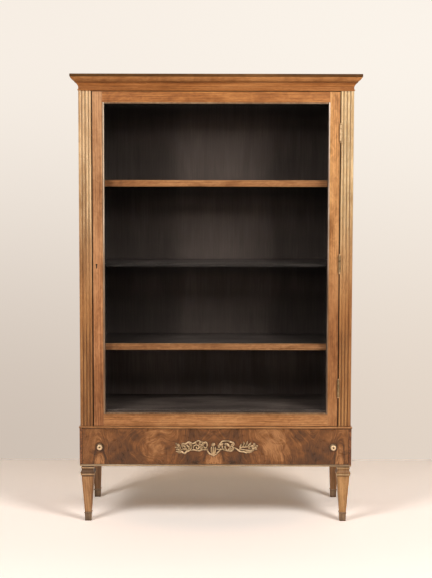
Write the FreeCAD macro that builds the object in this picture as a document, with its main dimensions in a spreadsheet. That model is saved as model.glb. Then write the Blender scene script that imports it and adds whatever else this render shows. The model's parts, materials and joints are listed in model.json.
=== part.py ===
import FreeCAD, Part
import math
import os
from types import SimpleNamespace

import Sketcher

# Glazed bookcase on legs: one tall door over one wide drawer.
# X runs to the right, Y to the rear, Z up. The origin is on the floor, under the middle of the box.

SIZES = {
    # Heights, from the floor up
    "leg_height": 191.0,
    "base_floor_edge": 6.5,
    "base_height": 122.5,
    "waist_thickness": 7.0,
    "case_height": 1120.0,
    "cornice_height": 44.5,
    "top_thickness": 9.5,
    # Case in plan
    "case_width": 911.0,
    "case_depth": 360.0,
    "pilaster_width": 42.0,
    "pilaster_depth": 40.0,
    "side_thickness": 18.0,
    "back_thickness": 10.0,
    "back_rebate": 9.0,
    "back_board_width": 588.0,
    "back_tongue_width": 6.0,
    "back_tongue_thickness": 3.0,
    # Pilaster flutes
    "flute_radius": 3.1,
    "flute_pitch": 11.0,
    "flute_setback": 0.6,
    "flute_shift": 1.5,
    "pilaster_edge_radius": 1.2,
    # Cornice and top
    "cornice_projection": 26.0,
    "cornice_backing": 20.0,
    "cornice_bead": 6.5,
    "cornice_bead_radius": 3.5,
    "cornice_neck": 7.5,
    "cavetto_height": 13.5,
    "cavetto_projection": 9.3,
    "cavetto_radius": 36.0,
    "cornice_step": 1.9,
    "cornice_step_height": 2.0,
    "ovolo_projection": 14.0,
    "ovolo_radius": 40.0,
    "top_edge_radius": 2.0,
    # Case floor, ceiling and stops
    "floor_height": 53.0,
    "floor_thickness": 18.0,
    "ceiling_thickness": 18.0,
    "door_rear_gap": 2.0,
    # Shelves, by the height of their top over the case floor
    "lower_shelf_height": 223.3,
    "middle_shelf_height": 494.6,
    "upper_shelf_height": 774.6,
    "shelf_thickness": 18.0,
    "middle_shelf_thickness": 11.0,
    "lipping_height": 21.5,
    "lipping_thickness": 8.0,
    "shelf_setback": 2.0,
    "shelf_end_gap": 0.5,
    "shelf_rear_gap": 1.0,
    "cleat_width": 12.0,
    "cleat_height": 16.0,
    "cleat_setback": 25.0,
    # Door
    "door_thickness": 22.0,
    "door_side_gap": 3.4,
    "door_top_gap": 2.0,
    "door_bottom_gap": 1.5,
    "stile_width": 33.1,
    "top_rail_height": 34.5,
    "bottom_rail_height": 40.5,
    "tenon_length": 18.0,
    "tenon_thickness": 8.0,
    "tenon_shoulder": 6.0,
    "tenon_gap": 0.1,
    "bead_width": 5.5,
    "bead_setback": 1.0,
    "bead_depth": 10.0,
    "bead_radius": 2.2,
    "glass_thickness": 4.0,
    "glass_edge_gap": 0.5,
    "glass_bevel_width": 17.0,
    "glass_bevel_depth": 1.5,
    "glass_seat_gap": 0.2,
    # Hinges, by the distance of their middle from the door's lower and upper edges
    "lower_hinge_rise": 129.5,
    "middle_hinge_rise": 547.5,
    "upper_hinge_drop": 135.0,
    "hinge_length": 54.0,
    "knuckle_radius": 4.0,
    "knuckle_gap": 0.2,
    "barrel_gap": 0.2,
    "pin_radius": 2.0,
    "pin_gap": 0.05,
    "finial_radius": 3.2,
    "leaf_gap": 0.2,
    "leaf_width": 19.0,
    "leaf_clearance": 0.3,
    "screw_radius": 1.5,
    "screw_head_radius": 2.8,
    "screw_length": 15.0,
    "screw_gap": 0.1,
    "screw_end_margin": 8.0,
    # Lock
    "keyhole_height": 543.5,
    "keyhole_backset": 12.0,
    "keyhole_radius": 3.2,
    "keyhole_slot_width": 3.4,
    "keyhole_slot_length": 12.0,
    "lock_length": 62.0,
    "lock_depth": 24.0,
    "lock_thickness": 10.0,
    "lock_inset": 5.5,
    "lock_plate_thickness": 1.5,
    "lock_plate_length": 80.0,
    "lock_plate_width": 14.0,
    "bolt_height": 14.0,
    "bolt_thickness": 6.0,
    "bolt_length": 18.0,
    "bolt_rise": 17.0,
    "bolt_gap": 0.25,
    "bolt_travel": 8.0,
    "key_chamber_radius": 6.5,
    "key_chamber_depth": 6.0,
    "keep_length": 50.0,
    # Base and waist
    "base_front_proud": 3.5,
    "base_side_proud": 2.7,
    "base_side_thickness": 18.0,
    "base_lip": 8.5,
    "base_back_thickness": 18.0,
    "base_slab": 7.5,
    "waist_overhang": 2.2,
    "base_floor_overhang": 1.2,
    # Drawer
    "drawer_front_thickness": 18.0,
    "drawer_front_gap": 0.8,
    "drawer_edge_radius": 0.8,
    "drawer_side_thickness": 12.0,
    "drawer_side_height": 92.0,
    "drawer_rear_gap": 15.5,
    "drawer_side_clearance": 0.6,
    "drawer_lift": 0.3,
    "drawer_bottom_thickness": 5.0,
    "drawer_bottom_rise": 8.0,
    "groove_depth": 6.0,
    "groove_gap": 0.1,
    # Knobs
    "knob_inset": 55.7,
    "knob_rise": 60.3,
    "knob_shift": 3.4,
    "knob_plate_radius": 11.5,
    "knob_plate_thickness": 2.0,
    "knob_neck_radius": 4.5,
    "knob_head_radius": 9.7,
    "knob_head_start": 7.0,
    "knob_head_edge": 3.0,
    "knob_under_radius": 10.5,
    "knob_crown_radius": 4.6,
    "knob_length": 15.0,
    "knob_dimple_radius": 3.0,
    "knob_dimple_depth": 2.8,
    "knob_shank_radius": 2.5,
    "knob_shank_gap": 0.1,
    "nut_radius": 6.0,
    "nut_thickness": 4.0,
    # Scroll mount
    "mount_shift": -7.0,
    "mount_rise": 54.0,
    "mount_left_length": 131.0,
    "mount_right_length": 152.0,
    "mount_height": 56.0,
    "mount_thickness": 4.0,
    "mount_band": 5.0,
    "mount_cup_width": 34.0,
    "mount_cup_thickness": 6.0,
    # Legs and shoes
    "leg_inset": 1.7,
    "neck_half": 20.6,
    "neck_height": 3.5,
    "upper_ring_height": 5.0,
    "scotia_height": 13.0,
    "scotia_radius": 11.0,
    "collar_half": 24.0,
    "collar_height": 3.5,
    "lower_ring_half": 21.4,
    "lower_ring_height": 6.5,
    "ring_groove_height": 4.5,
    "shaft_top_half": 20.6,
    "shaft_foot_half": 11.3,
    "rear_top_half": 16.0,
    "rear_inset": 0.5,
    "shoe_height": 31.0,
    "shoe_ring_height": 6.0,
    "shoe_ring_radius": 3.4,
    "shoe_neck_half": 11.2,
    "shoe_foot_half": 10.8,
    "leg_tenon_radius": 9.0,
    "leg_tenon_gap": 0.1,
    # Allowances
    "cut_overrun": 5.0,
    "joint_gap": 0.3,
}

# A bead is a little flatter than a half circle.
bead_radius_share = 0.52
# The nosing of a thin board is a little flatter than half its thickness.
nosing_radius_share = 0.42
# Heights of the scroll mount's bands and leaves, as shares of its height, and their places along each half,
# as shares of the half's length. Bands: centre along, centre up, radius, start angle, sweep.
mount_band_shares = (
    (0.27, 0.10, 0.32, 10, 165),
    (0.36, -0.02, 0.20, -150, 300),
    (0.30, 0.42, 0.75, 215, 100),
    (0.62, -0.45, 0.62, 35, 95),
    (0.70, 0.55, 0.86, 222, 88),
    (0.86, 0.06, 0.20, 0, 300),
)
# Leaves: place along, place up, length and width in mount heights, turn in degrees.
mount_leaf_shares = (
    (0.20, 0.02, 0.46, 0.20, 68),
    (0.44, 0.22, 0.42, 0.18, 118),
    (0.55, -0.06, 0.40, 0.18, 20),
    (0.66, 0.16, 0.42, 0.18, 60),
    (0.75, 0.20, 0.46, 0.18, 84),
    (0.84, 0.26, 0.40, 0.17, 108),
    (0.93, 0.16, 0.36, 0.17, 28),
    (0.90, -0.12, 0.42, 0.18, -18),
    (0.76, -0.28, 0.40, 0.16, 165),
)

doc = FreeCAD.newDocument("bookcase")
sheet = doc.addObject("Spreadsheet::Sheet", "Sizes")
for row, (alias, value) in enumerate(SIZES.items(), start=1):
    sheet.set(f"A{row}", alias)
    sheet.set(f"B{row}", str(value))
    sheet.setAlias(f"B{row}", alias)
doc.recompute()

nodes = {}


# Sizes that keep their sheet expression

class Size:
    """A length with its value and the sheet expression that gives it."""

    def __init__(self, value, text):
        self.value = float(value)
        self.text = text

    def __add__(self, other):
        other = as_size(other)
        return Size(self.value + other.value, f"({self.text} + {other.text})")

    def __sub__(self, other):
        other = as_size(other)
        return Size(self.value - other.value, f"({self.text} - {other.text})")

    def __mul__(self, factor):
        return Size(self.value * factor, f"({self.text} * {factor!r})")

    def __truediv__(self, factor):
        return Size(self.value / factor, f"({self.text} / {factor!r})")

    def __neg__(self):
        return Size(-self.value, f"(-{self.text})")


def as_size(length):
    return length if isinstance(length, Size) else Size(length, repr(length))


def bind(obj, prop, length):
    obj.setExpression(prop, as_size(length).text)


def place(obj, base, rotation=None):
    """Put an object at a point whose coordinates stay bound to the sheet."""
    point = FreeCAD.Vector(*(as_size(coordinate).value for coordinate in base))
    obj.Placement = FreeCAD.Placement(point, rotation or FreeCAD.Rotation())
    for axis, coordinate in zip("xyz", base):
        bind(obj, f"Placement.Base.{axis}", coordinate)
    return obj


s = SimpleNamespace(**{alias: Size(value, f"Sizes.{alias}") for alias, value in SIZES.items()})

X_AXIS = FreeCAD.Vector(1, 0, 0)
Y_AXIS = FreeCAD.Vector(0, 1, 0)
Z_AXIS = FreeCAD.Vector(0, 0, 1)
FACING_FRONT = FreeCAD.Rotation(X_AXIS, 90)
ALONG_X = FreeCAD.Rotation(Y_AXIS, 90)
ALONG_MINUS_X = FreeCAD.Rotation(Y_AXIS, -90)
SIDES = (("left", -1), ("right", 1))
NO_GAP = Size(0, "0")


# Solids

def box(name, low, high):
    solid = doc.addObject("Part::Box", name)
    for prop, start, end in zip(("Length", "Width", "Height"), low, high):
        bind(solid, prop, as_size(end) - start)
    return place(solid, low)


def cylinder(name, base, radius, height, rotation=None, sweep=360):
    solid = doc.addObject("Part::Cylinder", name)
    bind(solid, "Radius", radius)
    bind(solid, "Height", height)
    solid.Angle = sweep
    return place(solid, base, rotation)


def cone(name, base, radius_low, radius_high, height, rotation=None):
    solid = doc.addObject("Part::Cone", name)
    bind(solid, "Radius1", radius_low)
    bind(solid, "Radius2", radius_high)
    bind(solid, "Height", height)
    return place(solid, base, rotation)


def ball(name, centre, radius):
    solid = doc.addObject("Part::Sphere", name)
    bind(solid, "Radius", radius)
    return place(solid, centre)


def fuse(name, solids):
    joined = doc.addObject("Part::MultiFuse", name)
    joined.Shapes = solids
    return joined


def group(name, solids):
    compound = doc.addObject("Part::Compound", name)
    compound.Links = solids
    return compound


def common(name, first, second):
    shared = doc.addObject("Part::Common", name)
    shared.Base = first
    shared.Tool = second
    return shared


def cut(name, solid, tools):
    cutter = tools[0] if len(tools) == 1 else fuse(f"{name}_cutter", tools)
    result = doc.addObject("Part::Cut", name)
    result.Base = solid
    result.Tool = cutter
    return result


def rounded(name, solid, radius, chosen):
    """Round the edges for which chosen(edge) is true."""
    doc.recompute()
    soft = doc.addObject("Part::Fillet", name)
    soft.Base = solid
    edges = [number for number, edge in enumerate(solid.Shape.Edges, start=1) if chosen(edge)]
    soft.Edges = [(number, radius.value, radius.value) for number in edges]
    return soft


def node(name, obj):
    obj.Label = name
    nodes[name] = obj
    return obj


def span(sign, inner, outer):
    """Low and high X of a piece on the left (-1) or right (1) side."""
    return (inner, outer) if sign > 0 else (-outer, -inner)


# Outlines

def corners(points):
    """Outline points as (across, up, radius, turn), with no radius on straight runs."""
    return [tuple(point) + (None, 0) if len(point) == 2 else tuple(point) for point in points]


def arc_between(start, end, radius, turn):
    """The arc under a half circle from start to end, turning left (1) or right (-1)."""
    chord = end.sub(start)
    rise = math.sqrt(radius ** 2 - (chord.Length / 2) ** 2)
    normal = FreeCAD.Vector(-chord.y, chord.x, 0).normalize()
    centre = (start + end) * 0.5 + normal * (rise * turn)
    first, last = (start, end) if turn > 0 else (end, start)
    angles = [math.atan2(point.y - centre.y, point.x - centre.x) for point in (first, last)]
    return Part.ArcOfCircle(Part.Circle(centre, Z_AXIS, radius), *angles)


def outline(sketch, points):
    """Draw a closed outline in a sketch and tie each corner to the sheet."""
    points = corners(points)
    places = [FreeCAD.Vector(as_size(p[0]).value, as_size(p[1]).value, 0) for p in points]
    ends = []
    for index, start in enumerate(places):
        following = (index + 1) % len(points)
        radius, turn = points[following][2:]
        if radius is None:
            edge = sketch.addGeometry(Part.LineSegment(start, places[following]))
        else:
            edge = sketch.addGeometry(arc_between(start, places[following], radius.value, turn))
        ends.append((edge, 1, 2) if turn >= 0 else (edge, 2, 1))
    for index, (edge, first, last) in enumerate(ends):
        after, after_first, _ = ends[(index + 1) % len(ends)]
        sketch.addConstraint(Sketcher.Constraint("Coincident", edge, last, after, after_first))
    for index, (across, up, radius, turn) in enumerate(points):
        edge, first, _ = ends[index]
        for kind, length in (("DistanceX", across), ("DistanceY", up)):
            value = as_size(length).value
            number = sketch.addConstraint(Sketcher.Constraint(kind, -1, 1, edge, first, value))
            bind(sketch, f"Constraints[{number}]", length)
        if radius is not None:
            number = sketch.addConstraint(Sketcher.Constraint("Radius", ends[index - 1][0], radius.value))
            bind(sketch, f"Constraints[{number}]", radius)
    return sketch


def prism(name, points, length, base, rotation=None, symmetric=False):
    """Extrude an outline along its own normal."""
    sketch = outline(doc.addObject("Sketcher::SketchObject", f"{name}_outline"), points)
    place(sketch, base, rotation)
    solid = doc.addObject("Part::Extrusion", name)
    solid.Base = sketch
    solid.DirMode = "Normal"
    solid.Solid = True
    solid.Symmetric = symmetric
    bind(solid, "LengthFwd", length)
    return solid


def mirrored_profile(points):
    """Close a right-hand profile, drawn upwards, with its mirror image."""
    right = corners(points)
    left = []
    for index in range(len(right) - 1, -1, -1):
        across, up = right[index][:2]
        radius, turn = right[index + 1][2:] if index + 1 < len(right) else (None, 0)
        left.append((-as_size(across), up, radius, turn))
    return right + left


def square_turning(name, points, widest, base):
    """A square moulded post: one profile sawn along X and again along Y."""
    outline_points = mirrored_profile(points)
    along_y = prism(f"{name}_front", outline_points, widest, base, FACING_FRONT, symmetric=True)
    turned = FreeCAD.Rotation(Z_AXIS, 90).multiply(FACING_FRONT)
    along_x = prism(f"{name}_side", outline_points, widest, base, turned, symmetric=True)
    return common(f"{name}_post", along_y, along_x)


def body_plane(body, role):
    return next(plane for plane in body.Origin.OriginFeatures if plane.Role == role)


def body_sketch(body, name, role):
    sketch = body.newObject("Sketcher::SketchObject", name)
    sketch.AttachmentSupport = (body_plane(body, role), [""])
    sketch.MapMode = "FlatFace"
    return sketch


# Main places

z_base = s.leg_height
z_drawer = z_base + s.base_floor_edge
z_waist = z_drawer + s.base_height
z_case = z_waist + s.waist_thickness
z_cornice = z_case + s.case_height
z_top = z_cornice + s.cornice_height
z_end = z_top + s.top_thickness
z_floor = z_case + s.floor_height
z_ceiling = z_cornice - s.ceiling_thickness

x_case = s.case_width / 2
x_inner = x_case - s.side_thickness
x_opening = x_case - s.pilaster_width
x_base = x_case + s.base_side_proud
x_base_inner = x_base - s.base_side_thickness

y_front = (s.cornice_projection - s.case_depth) / 2
y_back = y_front + s.case_depth
y_panels = y_front + s.pilaster_depth
y_boards = y_back - s.back_thickness
y_stop = y_front + s.door_thickness + s.door_rear_gap
y_base = y_front - s.base_front_proud
y_drawer_box = y_base + s.drawer_front_thickness

x_door = x_opening - s.door_side_gap
x_sight = x_door - s.stile_width
z_door_low = z_case + s.door_bottom_gap
z_door_high = z_cornice - s.door_top_gap
z_sight_low = z_door_low + s.bottom_rail_height
z_sight_high = z_door_high - s.top_rail_height

x_axis = x_opening - s.door_side_gap / 2
y_axis = y_front - s.knuckle_radius - s.barrel_gap
leaf_thickness = (s.door_side_gap - s.leaf_gap) / 2
hinge_heights = {
    "upper": z_door_high - s.upper_hinge_drop,
    "middle": z_door_low + s.middle_hinge_rise,
    "lower": z_door_low + s.lower_hinge_rise,
}
z_key = z_door_low + s.keyhole_height
x_key = -x_door + s.keyhole_backset
y_lock = y_front + s.lock_inset
z_bolt = z_key + s.bolt_rise


# Case

def side_panels():
    for side, sign in SIDES:
        low, high = span(sign, x_inner, x_case)
        panel = box(f"{side}_panel_blank", (low, y_panels, z_case), (high, y_back, z_cornice))
        low, high = span(sign, x_inner - s.cut_overrun, x_inner + s.back_rebate)
        rebate = box(
            f"{side}_panel_rebate",
            (low, y_boards, z_case - s.cut_overrun),
            (high, y_back + s.cut_overrun, z_cornice + s.cut_overrun),
        )
        node(f"{side}_side_panel", cut(f"{side}_side_panel", panel, [rebate]))


def fluted_post(name, sign):
    """A pilaster body at its own origin, its front face at Y zero and its flutes nearer the door."""
    body = doc.addObject("PartDesign::Body", name)
    section = body_sketch(body, f"{name}_section", "XY_Plane")
    half = s.pilaster_width / 2
    outline(section, [(-half, 0), (half, 0), (half, s.pilaster_depth), (-half, s.pilaster_depth)])
    pad = body.newObject("PartDesign::Pad", f"{name}_pad")
    pad.Profile = section
    bind(pad, "Length", s.case_height)
    doc.recompute()

    flute = body_sketch(body, f"{name}_flute", "XY_Plane")
    first = -s.flute_pitch - s.flute_shift * sign
    start = FreeCAD.Vector(first.value, -s.flute_setback.value, 0)
    ring = flute.addGeometry(Part.Circle(start, Z_AXIS, s.flute_radius.value))
    for kind, length in (("DistanceX", first), ("DistanceY", -s.flute_setback)):
        number = flute.addConstraint(Sketcher.Constraint(kind, -1, 1, ring, 3, length.value))
        bind(flute, f"Constraints[{number}]", length)
    number = flute.addConstraint(Sketcher.Constraint("Radius", ring, s.flute_radius.value))
    bind(flute, f"Constraints[{number}]", s.flute_radius)
    pocket = body.newObject("PartDesign::Pocket", f"{name}_pocket")
    pocket.Profile = flute
    pocket.Reversed = True
    pocket.Type = "ThroughAll"
    doc.recompute()

    row = body.newObject("PartDesign::LinearPattern", f"{name}_flutes")
    row.Originals = [pocket]
    row.Direction = (section, ["H_Axis"])
    row.Occurrences = 3
    bind(row, "Length", s.flute_pitch * 2)
    body.Tip = row
    doc.recompute()
    if body.Shape.Volume >= pad.Shape.Volume:
        raise RuntimeError(f"{name}: the flutes cut nothing")

    edge_round = body.newObject("PartDesign::Fillet", f"{name}_edges")
    edge_round.Base = (row, front_corners(row.Shape))
    bind(edge_round, "Radius", s.pilaster_edge_radius)
    body.Tip = edge_round
    return body


def front_corners(shape):
    """Names of the two upright edges at the ends of the front face, which lies at Y zero."""
    half = s.pilaster_width.value / 2
    close = s.joint_gap.value / 2
    names = []
    for number, edge in enumerate(shape.Edges, start=1):
        points = [vertex.Point for vertex in edge.Vertexes]
        if all(abs(abs(p.x) - half) < close and abs(p.y) < close for p in points):
            names.append(f"Edge{number}")
    return names


def pilasters():
    for side, sign in SIDES:
        middle = (x_case - s.pilaster_width / 2) * sign
        post = place(fluted_post(f"{side}_post", sign), (middle, y_front, z_case))
        if side == "left":
            post = cut("left_post_cut", post, keep_recess())
        else:
            post = cut("right_post_cut", post, screw_holes("post"))
        node(f"{side}_pilaster", post)


def back_boards():
    x_rebate = x_inner + s.back_rebate
    x_joint = s.back_board_width / 2
    tongue_low = y_boards + (s.back_thickness - s.back_tongue_thickness) / 2
    tongue_high = tongue_low + s.back_tongue_thickness
    middle = box("centre_board", (-x_joint, y_boards, z_case), (x_joint, y_back, z_cornice))
    tongues = []
    for side, sign in SIDES:
        low, high = span(sign, x_joint, x_rebate)
        board = box(f"{side}_board", (low, y_boards, z_case), (high, y_back, z_cornice))
        low, high = span(sign, x_joint - s.back_tongue_width, x_joint + s.back_tongue_width)
        tongue = box(f"{side}_tongue", (low, tongue_low, z_case), (high, tongue_high, z_cornice))
        tongues.append(tongue)
        low, high = span(sign, x_joint - s.cut_overrun, x_joint + s.back_tongue_width + s.tenon_gap)
        groove = box(
            f"{side}_board_groove",
            (low, tongue_low - s.tenon_gap, z_case - s.cut_overrun),
            (high, tongue_high + s.tenon_gap, z_cornice + s.cut_overrun),
        )
        node(f"back_board_{side}", cut(f"back_board_{side}", board, [groove]))
    node("back_board_centre", fuse("back_board_centre", [middle] + tongues))


def floor_and_ceiling():
    node("case_floor", box(
        "case_floor",
        (-x_inner, y_panels, z_floor - s.floor_thickness),
        (x_inner, y_boards, z_floor),
    ))
    node("floor_front_rail", box(
        "floor_front_rail",
        (-x_opening, y_stop, z_case),
        (x_opening, y_panels, z_floor),
    ))
    node("case_ceiling", box(
        "case_ceiling",
        (-x_inner, y_panels, z_ceiling),
        (x_inner, y_boards, z_cornice),
    ))
    node("top_door_stop", box(
        "top_door_stop",
        (-x_opening, y_stop, z_ceiling),
        (x_opening, y_panels, z_cornice),
    ))


def shelves():
    half = x_inner - s.shelf_end_gap
    y_low = y_panels + s.shelf_setback
    y_high = y_boards - s.shelf_rear_gap
    cleats = []
    for name, height in (
        ("lower", s.lower_shelf_height),
        ("middle", s.middle_shelf_height),
        ("upper", s.upper_shelf_height),
    ):
        z_high = z_floor + height
        if name == "middle":
            z_low = z_high - s.middle_shelf_thickness
            node("middle_shelf", box("middle_shelf", (-half, y_low, z_low), (half, y_high, z_high)))
        else:
            z_low = z_high - s.shelf_thickness
            y_board = y_low + s.lipping_thickness
            node(f"{name}_shelf", box(f"{name}_shelf", (-half, y_board, z_low), (half, y_high, z_high)))
            lipping = box(
                f"{name}_lipping",
                (-half, y_low, z_high - s.lipping_height),
                (half, y_board, z_high),
            )
            node(f"{name}_shelf_lipping", lipping)
        for side, sign in SIDES:
            low, high = span(sign, x_inner - s.cleat_width, x_inner)
            cleats.append(box(
                f"{name}_{side}_cleat",
                (low, y_low + s.cleat_setback, z_low - s.cleat_height),
                (high, y_high - s.cleat_setback, z_low),
            ))
    node("shelf_cleats", group("shelf_cleats", cleats))


# Cornice and top

def cornice_profile():
    """Outline from the case face outwards and from the case top upwards."""
    bead_top = s.cornice_bead
    neck_top = bead_top + s.cornice_neck
    cavetto_top = neck_top + s.cavetto_height
    step_top = cavetto_top + s.cornice_step_height
    step_out = s.cavetto_projection + s.cornice_step
    return [
        (-s.cornice_backing, 0),
        (0, 0),
        (0, bead_top, s.cornice_bead_radius, 1),
        (0, neck_top),
        (s.cavetto_projection, cavetto_top, s.cavetto_radius, -1),
        (step_out, cavetto_top),
        (step_out, step_top),
        (step_out + s.ovolo_projection, s.cornice_height, s.ovolo_radius, 1),
        (-s.cornice_backing, s.cornice_height),
    ]


def mitre_wedge(name, sign, keeps_front):
    """A triangular prism that trims one cornice length at a front corner of the case."""
    reach_in = s.cornice_backing + s.cut_overrun
    reach_out = s.cornice_projection + s.cut_overrun
    inner = ((x_case - reach_in) * sign, y_front + reach_in)
    outer = ((x_case + reach_out) * sign, y_front - reach_out)
    third = (outer[0], inner[1]) if keeps_front else (inner[0], outer[1])
    height = s.cornice_height + s.cut_overrun * 2
    return prism(name, [inner, outer, third], height, (0, 0, z_cornice - s.cut_overrun))


def cornice():
    outward = {
        "front": FreeCAD.Rotation(-Y_AXIS, Z_AXIS, -X_AXIS, "ZXY"),
        "left": FreeCAD.Rotation(-X_AXIS, Z_AXIS, Y_AXIS, "ZXY"),
        "right": FreeCAD.Rotation(X_AXIS, Z_AXIS, -Y_AXIS, "ZXY"),
    }
    profile = cornice_profile()
    overall_width = s.case_width + s.cornice_projection * 2
    overall_depth = s.case_depth + s.cornice_projection
    base = (0, y_front, z_cornice)
    front = prism("cornice_front_blank", profile, overall_width, base, outward["front"], True)
    wedges = [mitre_wedge(f"front_{side}_mitre", sign, True) for side, sign in SIDES]
    node("cornice_front", cut("cornice_front", front, wedges))
    for side, sign in SIDES:
        base = (x_case * sign, 0, z_cornice)
        blank = prism(f"cornice_{side}_blank", profile, overall_depth, base, outward[side], True)
        wedge = mitre_wedge(f"{side}_mitre", sign, False)
        node(f"cornice_{side}", cut(f"cornice_{side}", blank, [wedge]))
    inner = x_case - s.cornice_backing
    node("cornice_back_rail", box(
        "cornice_back_rail",
        (-inner, y_back - s.cornice_backing, z_cornice),
        (inner, y_back, z_top),
    ))


def nosed_board(name, half_width, y_low, z_low, z_high, radius):
    """A board to the back plane, with its front and side edges rounded."""
    blank = box(f"{name}_blank", (-half_width, y_low, z_low), (half_width, y_back, z_high))
    close = s.joint_gap.value / 2

    def shows(edge):
        front = all(abs(v.Point.y - y_low.value) < close for v in edge.Vertexes)
        flank = all(abs(abs(v.Point.x) - half_width.value) < close for v in edge.Vertexes)
        upright = abs(edge.tangentAt(edge.FirstParameter).z) > 0.5
        level_flank = flank and not upright and abs(edge.tangentAt(edge.FirstParameter).y) > 0.5
        return front or level_flank

    return rounded(name, blank, radius, shows)


def top_board():
    board = nosed_board(
        "top_board",
        x_case + s.cornice_projection,
        y_front - s.cornice_projection,
        z_top,
        z_end,
        s.top_edge_radius,
    )
    node("top_board", board)


# Base

def leg_places():
    x_leg = x_base - s.leg_inset - s.collar_half
    y_fore = y_base + s.leg_inset + s.collar_half
    y_rear = y_back - s.rear_inset - s.rear_top_half
    for side, sign in SIDES:
        yield f"front_{side}", (x_leg * sign, y_fore)
        yield f"rear_{side}", (x_leg * sign, y_rear)


def front_leg_profile():
    """Half of a front leg: a tapered shaft under a lower ring, a collar, a scotia and an upper ring."""
    upper_high = s.leg_height - s.neck_height
    upper_low = upper_high - s.upper_ring_height
    collar_high = upper_low - s.scotia_height
    lower_high = collar_high - s.collar_height
    lower_low = lower_high - s.lower_ring_height
    return [
        (s.shaft_foot_half, s.shoe_height),
        (s.shaft_top_half, lower_low - s.ring_groove_height),
        (s.lower_ring_half, lower_low),
        (s.lower_ring_half, lower_high, s.lower_ring_height * bead_radius_share, 1),
        (s.collar_half, lower_high),
        (s.collar_half, collar_high),
        (s.neck_half, upper_low, s.scotia_radius, -1),
        (s.neck_half, upper_high, s.upper_ring_height * bead_radius_share, 1),
        (s.neck_half, s.leg_height),
    ]


def shoe_profile():
    ring_low = s.shoe_height - s.shoe_ring_height
    return [
        (s.shoe_foot_half, 0),
        (s.shoe_neck_half, ring_low),
        (s.shaft_foot_half, s.shoe_height, s.shoe_ring_radius, 1),
    ]


def legs():
    rear_profile = [(s.shaft_foot_half, s.shoe_height), (s.rear_top_half, s.leg_height)]
    widest = (s.collar_half + s.cut_overrun) * 2
    shoes = []
    for name, (x, y) in leg_places():
        profile = front_leg_profile() if name.startswith("front") else rear_profile
        post = square_turning(f"{name}_leg", profile, widest, (x, y, 0))
        length = s.base_floor_edge - s.joint_gap
        tenon = cylinder(f"{name}_tenon", (x, y, z_base), s.leg_tenon_radius, length)
        node(f"{name}_leg", fuse(f"{name}_leg", [post, tenon]))
        shoes.append(square_turning(f"{name}_shoe", shoe_profile(), widest, (x, y, 0)))
    node("leg_shoes", group("leg_shoes", shoes))


def base_floor():
    lip = nosed_board(
        "base_floor_lip",
        x_base + s.base_floor_overhang,
        y_base - s.base_floor_overhang,
        z_base,
        z_drawer,
        s.base_floor_edge * nosing_radius_share,
    )
    slab = box(
        "base_floor_slab",
        (-x_base_inner, y_drawer_box + s.joint_gap, z_drawer),
        (x_base_inner, y_back - s.base_back_thickness, z_drawer + s.base_slab),
    )
    holes = [
        cylinder(f"{name}_mortise", (x, y, z_base - s.cut_overrun), s.leg_tenon_radius + s.leg_tenon_gap,
                 s.cut_overrun + s.base_floor_edge)
        for name, (x, y) in leg_places()
    ]
    node("base_floor", cut("base_floor", fuse("base_floor_blank", [lip, slab]), holes))


def base_case():
    y_rebate = y_drawer_box + s.joint_gap
    for side, sign in SIDES:
        low, high = span(sign, x_base_inner, x_base)
        blank = box(f"base_{side}_blank", (low, y_base, z_drawer), (high, y_back, z_waist))
        low, high = span(sign, x_base_inner - s.cut_overrun, x_base - s.base_lip)
        rebate = box(
            f"base_{side}_rebate",
            (low, y_base - s.cut_overrun, z_drawer - s.cut_overrun),
            (high, y_rebate, z_waist + s.cut_overrun),
        )
        node(f"base_{side}_side", cut(f"base_{side}_side", blank, [rebate]))
    node("base_back_rail", box(
        "base_back_rail",
        (-x_base_inner, y_back - s.base_back_thickness, z_drawer),
        (x_base_inner, y_back, z_waist),
    ))
    board = nosed_board(
        "waist_board",
        x_base + s.waist_overhang,
        y_base - s.waist_overhang,
        z_waist,
        z_case,
        s.waist_thickness * nosing_radius_share,
    )
    node("waist_board", board)


# Drawer

z_drawer_box = z_drawer + s.base_slab + s.drawer_lift
z_drawer_top = z_drawer_box + s.drawer_side_height
z_bottom = z_drawer_box + s.drawer_bottom_rise
x_drawer = x_base_inner - s.drawer_side_clearance
x_drawer_inner = x_drawer - s.drawer_side_thickness
y_drawer_end = y_back - s.base_back_thickness - s.drawer_rear_gap
x_drawer_front = x_base - s.base_lip - s.drawer_front_gap
x_knob = x_drawer_front - s.knob_inset
z_knob = z_drawer + s.knob_rise


def bottom_groove(name, low, high):
    """The slot that takes the drawer bottom, between two points in plan."""
    return box(
        name,
        (low[0], low[1], z_bottom - s.groove_gap),
        (high[0], high[1], z_bottom + s.drawer_bottom_thickness + s.groove_gap),
    )


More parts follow.
